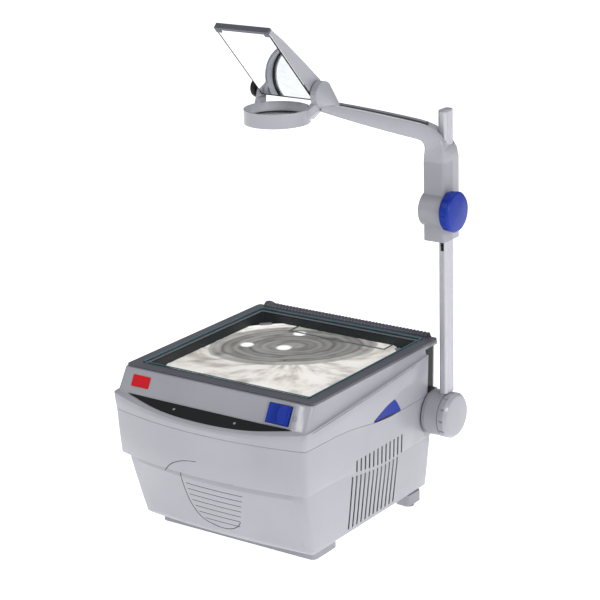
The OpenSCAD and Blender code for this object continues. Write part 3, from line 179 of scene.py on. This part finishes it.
# painted light and shade in the stage lens, in m: the painted grey image of the dark lamp house seen through it
# (its middle and half axes), the middle of the painted bright rays, and painted highlights where glints fall;
# glow is the strength of a painted glow
paintedLensLight = {"turn": 35.5, "lens": (0.0114, 0.0643, 0.124, 0.086), "rays": (0.0123, 0.0107), "glow": 0.55,
               "paintedHighlightSpots": [(-0.0498, 0.1101, 0.010), (-0.0881, 0.0286, 0.010), (-0.0332, 0.0454, 0.011)]}


def paintedLightAcrylic(name, s):
    # pressed acrylic Fresnel lens over the lamp; its rings are cut in the mesh, and this paints light and shade
    # into its colour:
    # through them a painted bright field with rays, the painted grey image of the dark lamp house, painted
    # highlights, and a painted glow, as the lens is no lamp
    mat, tree, shader, coords = newMaterial(name, IOR=1.49, Roughness=0.28, Coat_Weight=0.5, Coat_Roughness=0.06)
    sep = addNode(tree, "SeparateXYZ", links={"Vector": coords}).outputs

    def calc(op, a, b):
        node = addNode(tree, "Math", {"operation": op})
        for k, v in enumerate((a, b)):
            if isinstance(v, (int, float)):
                node.inputs[k].default_value = v
            else:
                tree.links.new(v, node.inputs[k])
        return node.outputs["Value"]

    def ellipse(place, cx, cy, rx, ry):
        # 0 in the middle of the ellipse, 1 on its edge
        dx = calc("DIVIDE", calc("SUBTRACT", place["X"], cx), rx)
        dy = calc("DIVIDE", calc("SUBTRACT", place["Y"], cy), ry)
        return calc("SQRT", calc("ADD", calc("MULTIPLY", dx, dx), calc("MULTIPLY", dy, dy)), 0.5)

    turned = addNode(tree, "Mapping", links={"Vector": coords},
                     values={"Rotation": (0, 0, -math.radians(s["turn"]))})
    turnedSep = addNode(tree, "SeparateXYZ", links={"Vector": turned.outputs["Vector"]}).outputs

    cloud = addNode(tree, "TexNoise", links={"Vector": turned.outputs["Vector"]},
                    values={"Scale": 16.0, "Detail": 4.0, "Distortion": 1.0}).outputs["Fac"]
    lens = ellipse(turnedSep, *s["lens"])
    arcs = calc("MULTIPLY", calc("SINE", calc("MULTIPLY", lens, 38.0), 0.0), 0.05)
    smoky = calc("ADD", calc("ADD", lens, arcs), calc("MULTIPLY", calc("SUBTRACT", cloud, 0.5), 0.3))
    # painted shade: the grey image of the dark lamp house, with arcs and smoke in it
    inside = ramp(tree, smoky, [(0.0, "#A9A7A4"), (0.2, "#6E6C6A"), (0.36, "#9B9996"), (0.5, "#5E5D5B"),
                                (0.66, "#A3A19D"), (0.8, "#6B6A67"), (0.93, "#B9B6B1"), (1.0, "#8F8D89")])
    # painted light: the bright field with rays around that image
    across = calc("SUBTRACT", turnedSep["X"], s["rays"][0])
    angle = calc("ARCTAN2", calc("SUBTRACT", turnedSep["Y"], s["rays"][1]), across)
    fan = addNode(tree, "CombineXYZ", links={"X": angle, "Y": calc("MULTIPLY", lens, 0.6)}).outputs["Vector"]
    rays = addNode(tree, "TexNoise", links={"Vector": fan},
                   values={"Scale": 3.4, "Detail": 4.0}).outputs["Fac"]
    outside = ramp(tree, rays, [(0.3, "#A8A19A"), (0.43, "#D9D3CC"), (0.52, "#F6F1EA"), (0.7, "#FFFDFA")])
    rim = addNode(tree, "MapRange", {"interpolation_type": "SMOOTHSTEP"}, {"Value": smoky},
                  {"From Min": 0.93, "From Max": 1.07}).outputs["Result"]
    whole = addNode(tree, "Mix", {"data_type": "RGBA"}, {"Factor": rim, 6: inside, 7: outside})
    field = whole.outputs[2]
    # painted highlights: small white glints blended over the field
    paintedHighlight = None
    for x, y, r in s["paintedHighlightSpots"]:
        spot = ellipse(sep, x, y, r, r)
        glow = addNode(tree, "MapRange", {"interpolation_type": "SMOOTHSTEP"}, {"Value": spot},
                       {"From Min": 0.7, "From Max": 1.25, "To Min": 1.0, "To Max": 0.0}).outputs["Result"]
        paintedHighlight = glow if paintedHighlight is None else calc("MAXIMUM", paintedHighlight, glow)
    lit = addNode(tree, "Mix", {"data_type": "RGBA"}, {"Factor": paintedHighlight, 6: field}, {7: linear("#FFFFFF")})
    tree.links.new(lit.outputs[2], shader.inputs["Base Color"])
    # painted glow: emission makes the lens give off light though it is no lamp
    tree.links.new(lit.outputs[2], shader.inputs["Emission Color"])
    shader.inputs["Emission Strength"].default_value = s["glow"]
    return mat


def makeMaterials():
    # one finish for each slot of the record, and two looks of single pieces
    return {
        "case_plastic": mouldedPlastic("mouldedAbsSilver", "#9FA0A7", "#A7A8AF", coat=0.6),
        "trim_plastic": mouldedPlastic("mouldedAbsGrey", "#97989F", "#9FA0A7"),
        "rim_plastic": mouldedPlastic("mouldedAbsSlate", "#4C4D57", "#565761", rough=(0.3, 0.42)),
        # black nylon for the dark parts; the same material paints shade as dark bars in grooves, at the rocker
        # step and along the cover sides
        "dark_plastic": mouldedPlastic("blackNylonAndPaintedShade", "#111214", "#18191B", rough=(0.35, 0.5),
                                       shine=0.3),
        "rubber": mouldedPlastic("pressedRubber", "#2A2A2D", "#343437", rough=(0.7, 0.85), depth=0.3),
        "steel": brushedMetal("zincPlatedSteel", "#8E9196", "#A4A7AB"),
        "reflector_metal": brushedMetal("spunAluminium", "#D3D5D8", "#E4E6E8", rough=0.2),
        "ceramic": mouldedPlastic("firedSteatite", "#DAD6CB", "#E4E0D6", rough=(0.55, 0.7)),
        "copper": brushedMetal("enamelledCopperWire", "#8E5426", "#B5743A", rough=0.35, stretch=(3, 3, 90)),
        "column_metal": brushedMetal("satinAnodisedAluminium", "#B9B9BF", "#C6C6CC", rough=0.42,
                                     metallic=0.55),
        "clear_glass": floatGlass("floatGlass", "#123434", 0.1),
        # stage lens: its colour is painted light and shade, with a painted glow
        "lens_acrylic": paintedLightAcrylic("paintedLightAcrylic", paintedLensLight),
        # black sheet behind the side vent slots: painted shade for the dark inside of the case
        "screen_black": mouldedPlastic("ventShadeBlack", "#050506", "#08080A", rough=(0.8, 0.9), depth=0.3),
        "edge_glass": floatGlass("groundGlassEdge", "#3E7F86", 1.0),
        "mirror_silver": silveredMirror("silveredGlass"),
        "blue_plastic": mouldedPlastic("mouldedAbsBlue", "#0A2C94", "#0E329E", rough=(0.3, 0.4), shine=0.25),
        "red_badge": mouldedPlastic("printedVinylRed", "#C60E1B", "#D01522", rough=(0.28, 0.36),
                                    depth=0.03, shine=0.25),
        "mark_grey": mouldedPlastic("printedGrey", "#8C8D93", "#9A9BA1", depth=0.03),
        "felt": mouldedPlastic("pressedFelt", "#54483A", "#665848", rough=(0.85, 0.95), depth=0.6),
    }


slotMaterial = makeMaterials()
print("materials ready:", len(slotMaterial))


def gridPiece(name, p, body, slot, covers=(), closeU=False, closeV=False, thick=0.0, soft=35,
              keep=None, look=None):
    # surface through the points p[u, v] in metres; only cells with keep[u, v] stay; thick adds a wall inwards
    nu, nv = p.shape[:2]
    u = np.arange(nu if closeU else nu - 1)
    v = np.arange(nv if closeV else nv - 1)
    a, b = np.meshgrid(u, v, indexing="ij")
    a1, b1 = (a + 1) % nu, (b + 1) % nv
    quads = np.stack([a * nv + b, a1 * nv + b, a1 * nv + b1, a * nv + b1], axis=-1)
    if keep is not None:
        quads = quads[keep[:quads.shape[0], :quads.shape[1]]]
    quads = quads.reshape(-1, 4)
    mesh = bpy.data.meshes.new(name)
    mesh.vertices.add(nu * nv)
    mesh.vertices.foreach_set("co", p.reshape(-1).astype(np.float32))
    mesh.loops.add(quads.size)
    mesh.loops.foreach_set("vertex_index", quads.reshape(-1).astype(np.int32))
    mesh.polygons.add(len(quads))
    mesh.polygons.foreach_set("loop_start", np.arange(0, quads.size, 4, dtype=np.int32))
    mesh.update(calc_edges=True)
    mesh.validate()
    work = bmesh.new()
    work.from_mesh(mesh)
    bmesh.ops.remove_doubles(work, verts=work.verts, dist=1e-6)
    loose = [vert for vert in work.verts if not vert.link_faces]
    bmesh.ops.delete(work, geom=loose, context="VERTS")
    bmesh.ops.recalc_face_normals(work, faces=work.faces)
    work.to_mesh(mesh)
    work.free()
    piece = bpy.data.objects.new(name, mesh)
    bpy.context.scene.collection.objects.link(piece)
    mesh.materials.append(slotMaterial[look or slot])
    mesh.shade_smooth()
    mesh.set_sharp_from_angle(angle=math.radians(soft))
    if thick:
        wall = piece.modifiers.new("wall", "SOLIDIFY")
        wall.thickness = thick
        wall.offset = -1
    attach(piece, body)
    if covers:
        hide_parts(*covers)
        replaced.update(covers)


def smooth(t):
    # 0 below 0, 1 above 1, and 3 t^2 - 2 t^3 between
    t = np.clip(t, 0, 1)
    return t * t * (3 - 2 * t)


def sweep(path, lift, profile):
    # p[i, k] = path[i] + profile[k, 0] * side[i] + profile[k, 1] * lift[i], side = tangent x lift
    tangent = np.gradient(path, axis=0)
    tangent /= np.linalg.norm(tangent, axis=1, keepdims=True)
    side = np.cross(tangent, lift)
    side /= np.linalg.norm(side, axis=1, keepdims=True)
    return path[:, None] + profile[None, :, :1] * side[:, None] + profile[None, :, 1:] * lift[:, None]


def roundBar(r, n=12):
    # circle of radius r as profile points
    a = np.linspace(0, 2 * np.pi, n, endpoint=False)
    return np.stack([r * np.cos(a), r * np.sin(a)], axis=1)


replaced = set()

# Fresnel lens: real ring pitch 0.25 mm, drawn at 3 mm; a wall of 2 mm
fresnelSet = {"pitch": 0.003, "depth": 0.00045, "thick": 0.002, "spokes": 180, "cut": 0.034, "reach": 0.175,
              "slope": 0.88}


def makeFresnel(s):
    # p = (r cos a, r sin a, top - depth * frac(r / pitch)), r clipped by the octagon
    # R(a) = min(hx / |cos a|, hy / |sin a|, (hx + hy - cut) / (|cos a| + |sin a|))
    hx, hy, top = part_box("fresnel_lens")[1]
    a = np.linspace(0, 2 * np.pi, s["spokes"], endpoint=False)
    edge = np.minimum(np.minimum(hx / (np.abs(np.cos(a)) + 1e-9), hy / (np.abs(np.sin(a)) + 1e-9)),
                      (hx + hy - s["cut"]) / (np.abs(np.cos(a)) + np.abs(np.sin(a))))
    k = np.arange(1, int(s["reach"] / s["pitch"]))
    rings = np.sort(np.concatenate([k * s["pitch"], k * s["pitch"] + s["slope"] * s["pitch"]]))
    r = np.minimum(rings[:, None], edge[None, :])
    z = top - s["depth"] * np.modf(r / s["pitch"] + 1e-6)[0]
    p = np.stack([r * np.cos(a), r * np.sin(a), z], axis=-1)
    keep = rings[:-1, None] < np.maximum(edge, np.roll(edge, -1))[None, :]
    gridPiece("fresnelRings", p, "stage_cover", "lens_acrylic", ["fresnel_lens"], closeV=True,
              thick=s["thick"], soft=20, keep=keep)


makeFresnel(fresnelSet)


def rectLoop(hx, hy, r, n=8):
    # rounded rectangle, anticlockwise
    q = np.linspace(0, np.pi / 2, n)
    corner = [(hx - r, hy - r, 0), (-hx + r, hy - r, np.pi / 2),
              (-hx + r, -hy + r, np.pi), (hx - r, -hy + r, 1.5 * np.pi)]
    return np.concatenate([np.stack([cx + r * np.cos(q + t), cy + r * np.sin(q + t)], axis=1)
                           for cx, cy, t in corner])


# ground edge of the stage glass, seen as a thin line where it meets the rim
edgeSet = {"wide": 0.0011, "proud": 0.00025, "inset": 0.0006, "deep": 0.001, "corner": 0.0025}


def makeGlassEdge(s):
    # flat ring: p = (rounded rectangle shrunk by a[k], z[k])
    high = np.array(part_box("stage_glass")[1])
    rows = [(s["inset"], -s["deep"]), (s["inset"], s["proud"]), (s["inset"] + s["wide"], s["proud"]),
            (s["inset"] + s["wide"], -s["deep"])]
    p = np.stack([np.column_stack([rectLoop(high[0] - a, high[1] - a, s["corner"]), np.full(32, high[2] + z)])
                  for a, z in rows])
    gridPiece("glassEdge", p, "stage_cover", "clear_glass", look="edge_glass", closeU=True, closeV=True)


makeGlassEdge(edgeSet)

# ribbed roll along the rear edge of the stage rim, with a fatter end at the left
rollSet = {"radius": 0.0056, "rib": 0.0011, "pitch": 0.0060, "from": -0.150, "to": 0.149, "bulge": 0.003,
           "plain": 0.022, "bulgeAt": 0.009, "fade": 0.004, "back": 0.0012, "down": 0.0006}


def makeRearRoll(s):
    # p = (x, y0 + R sin v, z0 + R cos v), R = radius + rib * max(0, cos(2 pi x / pitch))^0.5 + end bulge
    high = np.array(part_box("stage_rim")[1])
    x = np.arange(s["from"], s["to"], s["pitch"] / 8)
    v = np.linspace(-0.5 * np.pi, np.pi, 18)
    ends = smooth((x - s["from"]) / s["fade"]) * smooth((s["to"] - x) / s["fade"])
    rib = np.sqrt(np.clip(np.cos(2 * np.pi * x / s["pitch"]), 0, 1)) * (x > s["from"] + s["plain"])
    bulge = s["bulge"] * np.exp(-((x - s["from"] - s["bulgeAt"]) / s["bulgeAt"]) ** 2)
    radius = (s["radius"] + s["rib"] * rib + bulge) * (0.35 + 0.65 * ends)
    y = high[1] - s["back"] + radius[:, None] * np.sin(v)[None, :]
    z = high[2] - s["down"] + radius[:, None] * np.cos(v)[None, :]
    p = np.stack([np.repeat(x[:, None], len(v), axis=1), y, z], axis=-1)
    gridPiece("rearRoll", p, "stage_cover", "rim_plastic", closeV=True, soft=30)


makeRearRoll(rollSet)

# dark seal line around the mirror glass
sealSet = {"wide": 0.0013, "proud": 0.0003, "deep": 0.0012, "lip": 0.0002, "normal": (0, -0.7314, -0.682)}


def makeMirrorSeal(s):
    # four-sided ring on the glass: p = corner shrunk by a[k] + normal * h[k]
    mesh = nodes["mirror_glass"].data
    co = np.empty(len(mesh.vertices) * 3)
    mesh.vertices.foreach_get("co", co)
    world = nodes["mirror_glass"].matrix_world
    co = co.reshape(-1, 3) @ np.array(world.to_3x3()).T + np.array(world.translation)
    n = np.array(s["normal"])
    front = co[co @ n > (co @ n).max() - 1e-4]
    along = np.cross([1, 0, 0], n)
    mid = front.mean(axis=0)
    hx = np.abs(front[:, 0] - mid[0]).max()
    hl = np.abs((front - mid) @ along).max()
    rows = [(0, -s["deep"]), (0, s["proud"]), (s["wide"], s["proud"]), (s["wide"], -s["lip"])]
    signs = np.array([(1, 1), (-1, 1), (-1, -1), (1, -1)])
    p = np.stack([mid + np.outer(signs[:, 0] * (hx - a), [1, 0, 0])
                  + np.outer(signs[:, 1] * (hl - a), along) + n * h for a, h in rows])
    gridPiece("mirrorSeal", p, "mirror", "dark_plastic", closeU=True, closeV=True)


makeMirrorSeal(sealSet)

# outlines of the case shells in mm: half width, front, height, bow; then the falling edge and the low rows
caseSet = {"skirt": (148, 150, 22, 7), "low": (155, 174, 124, 16), "step": (162, 183.5, 124, 18),
           "seam": (164.5, 187, 191, 20), "dropFrom": -111.5, "dropTo": 25, "drop": 15, "sideBow": 3,
           "sideMiddle": -12, "sideReach": 165,
           "lowRows": (22, 25, 52, 84, 112, 130), "lowMix": (0, 0.02, 0.33, 0.68, 0.97, 1)}


def outlines(z, low):
    # lower and upper outline of the shell, and t(z), how far z lies from the one to the other
    if low:
        return caseSet["skirt"], caseSet["low"], np.interp(z, caseSet["lowRows"], caseSet["lowMix"])
    a, b = caseSet["step"], caseSet["seam"]
    return a, b, np.clip((z - a[2]) / (b[2] - a[2]), 0, 1)


def frontY(x, z, low, corner=8):
    # y of the bowed front at x, z in mm: -(front + bow (1 - (x / (hx - corner))^2)), hx, front and bow
    # mixed by t(z) between the two outlines
    a, b, t = outlines(z, low)
    hx, front, bow = (a[k] + (b[k] - a[k]) * t for k in (0, 1, 3))
    return -front - bow * (1 - (x / (hx - corner)) ** 2)


def sideX(y, low, z):
    # x of the bowed right side at y, z in mm: hx + side (1 - ((y - ym) / h)^2),
    # ym and h its middle and half length
    a, b, t = outlines(z, low)
    side = caseSet["sideBow"] * (t if low else 1)
    return a[0] + (b[0] - a[0]) * t + side * (1 - ((y - caseSet["sideMiddle"]) / caseSet["sideReach"]) ** 2)


# thin parting grooves of the front, drawn as dark lines laid in them: painted shade of the grooves; (x, z)
# points in mm on the surface
grooveSet = {"radius": 0.0006, "ribRadius": 0.0004,
             "leaf": [(-49.2, 118), (-49, 108), (-48.5, 92), (-46.6, 76), (-41, 58),
                      (-29, 43.5), (-8, 36.6), (13, 36.6), (29, 44), (38, 54)],
             "leafTop": [(-49, 118.2), (-20, 118.2), (10, 118.2), (43, 118.2)],
             "swoosh": [(-68, 121), (-63, 127), (-57, 132.5), (-49, 137.5),
                        (-40, 141.5), (-30, 144.5), (-20, 146.5), (-8, 148)],
             "ribs": 7, "ribFrom": 46, "ribStep": 9.4, "ribEnd": (36, 56)}


def throughPoints(points, n):
    # smooth curve through the points: Catmull-Rom, c = sum of the four weights times the neighbours
    q = np.array(points, float)
    q = np.vstack([2 * q[0] - q[1], q, 2 * q[-1] - q[-2]])
    t = np.linspace(0, len(points) - 1 - 1e-6, n)
    i, f = t.astype(int), (t % 1)[:, None]
    a, b, c, d = q[i], q[i + 1], q[i + 2], q[i + 3]
    return 0.5 * (2 * b + (c - a) * f + (2 * a - 5 * b + 4 * c - d) * f ** 2 + (3 * b - a - 3 * c + d) * f ** 3)


def groove(name, points, low, radius, n=60):
    # painted groove shade: a dark round bar swept along the surface, its centre just under the skin
    xz = throughPoints(points, n)
    y = frontY(xz[:, 0], xz[:, 1], low)
    path = np.stack([xz[:, 0], y, xz[:, 1]], axis=1) / 1000
    lift = np.tile([0.0, -1.0, 0.0], (n, 1))
    path[:, 1] += radius * 0.55
    gridPiece(name, sweep(path, lift, roundBar(radius)), "base", "dark_plastic", closeV=True)


# painted shade in the leaf, leaf-top and swoosh grooves
for grooveName, points, low in (("leafGrooveShade", "leaf", True), ("leafTopGrooveShade", "leafTop", True),
                                ("swooshGrooveShade", "swoosh", False)):
    groove(grooveName, grooveSet[points], low, grooveSet["radius"])

# thin skin over the front of the lower case: the leaf of the grip and its ribs are carved in it
skinSet = {"x": (-138, 138), "z": (25.5, 121.5), "fine": ((-54, 60), (32, 121)), "step": 0.62,
           "proud": 0.3, "dive": -0.35, "wall": 0.0012, "edge": 4, "groove": 0.7, "width": 0.7,
           "rib": 0.55, "ribWidth": 0.75}


def nearest(x, z, line):
    # distance of every grid point to the nearest sample of a curve
    best = np.full(x.shape, 1e9)
    for cx, cz in line:
        best = np.minimum(best, np.hypot(x - cx, z - cz))
    return best


def makeSkin(s):
    # p = (x, frontY(x, z) - out, z), out = mix(dive, proud) - groove exp(-(d / width)^2) - ribs,
    # d = distance to the leaf line
    def lines(span, fine, n):
        # fine steps over the leaf, and n coarse ones on either side of it
        inner = np.arange(fine[0], fine[1], s["step"])
        parts = [np.linspace(span[0], fine[0], n, endpoint=False), inner, np.linspace(fine[1], span[1], n)]
        return np.unique(np.concatenate(parts))

    x = lines(s["x"], s["fine"][0], 14)[:, None]
    z = lines(s["z"], s["fine"][1], 8)[None, :]
    x, z = x + 0 * z, z + 0 * x
    way = np.minimum(np.minimum(x - s["x"][0], s["x"][1] - x), np.minimum(z - s["z"][0], s["z"][1] - z))
    out = s["dive"] + (s["proud"] - s["dive"]) * smooth(way / s["edge"])
    leaf = throughPoints(grooveSet["leaf"], 160)
    out -= s["groove"] * np.exp(-(nearest(x, z, leaf) / s["width"]) ** 2)
    for k in range(grooveSet["ribs"]):
        high = grooveSet["ribFrom"] + k * grooveSet["ribStep"]
        start, end = ribEnds(k)
        along = smooth((x - start) / 2) * smooth((end - x) / 2)
        out -= s["rib"] * np.exp(-((z - high) / s["ribWidth"]) ** 2) * along
    p = np.stack([x, frontY(x, z, True) - out, z], axis=-1) / 1000
    gridPiece("frontSkin", p, "base", "case_plastic", ["grip_panel"], thick=s["wall"], soft=60)


def ribEnds(k):
    # x of the two ends of rib k: it starts 5 mm inside the leaf line
    leaf = throughPoints(grooveSet["leaf"], 160)
    high = grooveSet["ribFrom"] + k * grooveSet["ribStep"]
    left = leaf[:110]
    start = left[np.argmin(np.abs(left[:, 1] - high)), 0] + 5
    first, last = grooveSet["ribEnd"]
    return start, first + (last - first) * k / (grooveSet["ribs"] - 1)


makeSkin(skinSet)
# painted shade in each rib groove
for k in range(grooveSet["ribs"]):
    ribStart, ribStop = ribEnds(k)
    ribHigh = grooveSet["ribFrom"] + k * grooveSet["ribStep"]
    ribPoints = [(ribStart, ribHigh), ((ribStart + ribStop) / 2, ribHigh), (ribStop, ribHigh)]
    groove("ribGrooveShade%d" % k, ribPoints, True, grooveSet["ribRadius"], 24)

# dark sheet a little under the outer face of each side slot: painted shade for the dark inside of the vents
ventShadeSet = {"count": 12, "pitch": 10.5, "width": 3.5, "middle": -6, "back": 0.7, "low": (30.2, 114.8, 13.5),
           "high": (107.2, 137.8, 0)}


def makeVentShadeSheets(s):
    # columns y = slot centre +- width / 2, rows z = low + (high(y) - low) v, x = sideX - back;
    # the cells between two slots are dropped
    centres = s["middle"] + s["pitch"] * (np.arange(s["count"]) - (s["count"] - 1) / 2)
    y = np.stack([centres - s["width"] / 2, centres + s["width"] / 2], axis=1).reshape(-1)[:, None]
    drop = smooth((y - caseSet["dropFrom"]) / (caseSet["dropTo"] - caseSet["dropFrom"]))
    v = np.linspace(0, 1, 22)[None, :]
    keep = np.zeros((2 * s["count"], 21), bool)
    keep[::2] = True
    for name, low in (("low", True), ("high", False)):
        start, end, fall = s[name]
        stepLine = caseSet["step"][2] - caseSet["drop"] * drop
        first = start + 0 * y if low else np.maximum(start, stepLine + 0.6)
        z = first + (end - fall * drop - first) * v
        x = sideX(y, low, z if low else np.maximum(z, 124)) - s["back"]
        for sign, side in ((1, "Right"), (-1, "Left")):
            p = np.stack([sign * x, y + 0 * z, z], axis=-1) / 1000
            # painted shade sheet in the vent slots
            gridPiece(name + "VentShade" + side, p, "base", "dark_plastic", look="screen_black",
                      thick=0.0006, keep=keep)


makeVentShadeSheets(ventShadeSet)

# thin shadow line along each side of the cover, where the rim turns into the side
sideLineSet = {"radius": 0.5, "from": -178, "to": 96, "half": 166.995, "bow": 3, "reach": 166.29, "middle": -14,
               "z": 213, "rise": 25, "front": 188, "long": 348, "deep": 0.47}


def makeSideLines(s):
    # sweep of a round bar along x = half + bow (1 - t^2) - deep, z = z0 + rise (y + front) / long
    y = np.linspace(s["from"], s["to"], 90)
    t = (y - s["middle"]) / s["reach"]
    ends = smooth((y - s["from"]) / 10) * smooth((s["to"] - y) / 10)
    x = s["half"] + s["bow"] * (1 - t * t) - s["deep"] - (1 - ends) * 0.6
    z = s["z"] + s["rise"] * (y + s["front"]) / s["long"]
    for sign, name in ((1, "sideLineRight"), (-1, "sideLineLeft")):
        path = np.stack([sign * x, y, z], axis=1) / 1000
        lift = np.tile([float(sign), 0.0, 0.0], (len(y), 1))
        bar = sweep(path, lift, roundBar(s["radius"] / 1000, 16))
        gridPiece(name, bar, "stage_cover", "dark_plastic", closeV=True)


makeSideLines(sideLineSet)

# rocker cap: its left half pressed, its right half standing up behind a curved step
rockerSet = {"at": (115, -173.5, 232), "tilt": 28.07, "half": (17.7, 13.1), "left": 1.4,
             "middle": 3.2, "right": 5.9, "end": 5.2, "step": 2.7, "bulge": -3.7, "deep": 0.2, "round": 1.4}


def onPanel(q, s):
    # local (x, up, out) in mm to metres on the leaning panel
    a = math.radians(s["tilt"])
    turn = np.array([[1, 0, 0], [0, math.sin(a), math.cos(a)], [0, -math.cos(a), math.sin(a)]])
    return (np.array(s["at"]) + q @ turn) / 1000


def makeRocker(s):
    # out(x, up) = the two slopes joined by a steep step at x = step + bulge (1 - up^2 / b^2),
    # rounded down at its edges; a dark bar swept along the foot of the step paints the crescent of shade there
    hx, hy = s["half"]
    u = np.concatenate([[-1.0], np.linspace(-1, 1, 90), [1.0]])[:, None]
    v = np.concatenate([[-1.0], np.linspace(-1, 1, 44), [1.0]])[None, :]
    x, y = hx * u + 0 * v, hy * v + 0 * u
    step = s["step"] + s["bulge"] * (1 - (y / hy) ** 2)
    leftSlope = s["left"] + (s["middle"] - s["left"]) * (x + hx) / (hx + s["step"])
    rightSlope = s["right"] + (s["end"] - s["right"]) * (x - s["step"]) / (hx - s["step"])
    out = leftSlope + (rightSlope - leftSlope) * smooth((x - step) / 0.9)
    edge = np.minimum(hx - np.abs(x), hy - np.abs(y))
    out = out - s["round"] * (1 - np.sqrt(np.clip(1 - (1 - np.clip(edge / s["round"], 0, 1)) ** 2, 0, 1)))
    skirt = np.zeros(out.shape, bool)
    skirt[0], skirt[-1], skirt[:, 0], skirt[:, -1] = True, True, True, True
    out = np.where(skirt, s["deep"], out)
    gridPiece("rockerCap", onPanel(np.stack([x, y, out], axis=-1), s), "rocker", "blue_plastic", soft=50)
    # painted shade at the foot of the step: a thin dark bar, widest in the middle
    y = np.linspace(-hy + 1.2, hy - 1.2, 40)
    x = s["step"] + s["bulge"] * (1 - (y / hy) ** 2) + 0.1
    out = s["left"] + (s["middle"] - s["left"]) * (x + hx) / (hx + s["step"]) + 0.25
    path = onPanel(np.stack([x, y, out], axis=-1), s)
    lift = onPanel(np.array([[0, 0, 1000.0]]), s) - onPanel(np.array([[0, 0, 0.0]]), s)
    wide = 0.0004 + 0.0009 * (1 - (y / hy) ** 2)
    p = sweep(path, np.tile(lift, (len(y), 1)), roundBar(1.0, 10))
    p = path[:, None] + (p - path[:, None]) * wide[:, None, None]
    gridPiece("rockerStepShade", p, "rocker", "dark_plastic", closeV=True)


makeRocker(rockerSet)

# CAD nodes that keep their shape get a bevelled, smooth-shaded copy each, with this edge radius in mm
edgeRadius = {"stage_rim": 0.8, "stage_glass": 0.5, "fresnel_frame": 0.5, "post_hub": 1.0, "clamp_knob": 0.8,
              "clamp_bracket": 0.8, "carriage_front": 1.4, "carriage_back": 1.4, "head_bracket": 0.6,
              "lens_ring": 0.5, "focus_knob": 0.8, "mirror_frame": 1.0, "mirror_rail": 0.6, "front_foot": 1.5,
              "rear_feet": 1.5, "foot_pads": 0.8, "power_rocker": 0.6, "switch_bezel": 0.4, "tilt_knob": 0.5,
              "post": 0.3, "post_cap": 0.6, "arm": 1.0, "badge": 0.3, "gear_rack": 0.0, "pinion_shaft": 0.0}
plainRadius = 0.35
softAngle = math.radians(32)


def finishNode(name):
    # bevelled copy of a CAD node: same place, its doubles merged, edges rounded, curved faces smooth
    source = nodes[name]
    mesh = source.data.copy()
    mesh.name = name + "Surface"
    work = bmesh.new()
    work.from_mesh(mesh)
    bmesh.ops.remove_doubles(work, verts=work.verts, dist=2e-6)
    bmesh.ops.dissolve_limit(work, angle_limit=math.radians(0.4), verts=work.verts, edges=work.edges)
    work.to_mesh(mesh)
    work.free()
    copy = bpy.data.objects.new(name + "Piece", mesh)
    bpy.context.scene.collection.objects.link(copy)
    mesh.materials.clear()
    mesh.materials.append(slotMaterial[slotOf[name]])
    mesh.shade_smooth()
    mesh.set_sharp_from_angle(angle=softAngle)
    radius = edgeRadius.get(name, plainRadius)
    if radius > 0:
        bevel = copy.modifiers.new("edge", "BEVEL")
        bevel.width = radius / 1000
        bevel.segments = 2
        bevel.limit_method = "ANGLE"
        bevel.angle_limit = softAngle
        bevel.harden_normals = True
        bevel.use_clamp_overlap = True
    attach(copy, bodyOf[name])
    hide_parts(name)


for name in sorted(set(nodes) - replaced):
    finishNode(name)
print("bevelled pieces:", len(set(nodes) - replaced))

# studio: white paper floor and three soft boxes (metres and watts)
studio = {"floor": "#F4F4F4", "half": 7.0, "glow": 0.78, "world": "#FBFBFF", "worldPower": 0.36}
lamps = [
    {"name": "keyBox", "at": (-1.4, -2.6, 2.8), "aim": (0, 0, 0.25), "size": 0.8, "power": 24},
    {"name": "rightBox", "at": (2.8, -0.9, 1.5), "aim": (0.1, 0, 0.3), "size": 0.6, "power": 30},
    {"name": "topBox", "at": (0.3, 1.0, 3.2), "aim": (0, 0, 0.3), "size": 1.6, "power": 24},
]


def makeStudio(s, rows):
    # world light, glowing floor and the soft boxes of rows
    bpy.context.scene.view_settings.view_transform = "Standard"
    world = bpy.data.worlds.new("studioWorld")
    bpy.context.scene.world = world
    world.use_nodes = True
    background = world.node_tree.nodes["Background"]
    background.inputs["Color"].default_value = linear(s["world"])
    background.inputs["Strength"].default_value = s["worldPower"]
    size = s["half"]
    mesh = bpy.data.meshes.new("studioFloor")
    corners = [(-size, -size, 0), (size, -size, 0), (size, size, 0), (-size, size, 0)]
    mesh.from_pydata(corners, [], [(0, 1, 2, 3)])
    floor = bpy.data.objects.new("studioFloor", mesh)
    bpy.context.scene.collection.objects.link(floor)
    mat = newMaterial("paperSweep", Base_Color=linear(s["floor"]), Roughness=0.9,
                      Emission_Color=linear("#FFFFFF"), Emission_Strength=s["glow"])[0]
    mesh.materials.append(mat)
    for row in rows:
        data = bpy.data.lights.new(row["name"], "AREA")
        data.shape = "SQUARE"
        data.size = row["size"]
        data.energy = row["power"]
        lamp = bpy.data.objects.new(row["name"], data)
        at, aim = Vector(row["at"]), Vector(row["aim"])
        lamp.location = at
        lamp.rotation_euler = (aim - at).to_track_quat("-Z", "Y").to_euler()
        bpy.context.scene.collection.objects.link(lamp)


makeStudio(studio, lamps)
print("studio ready")
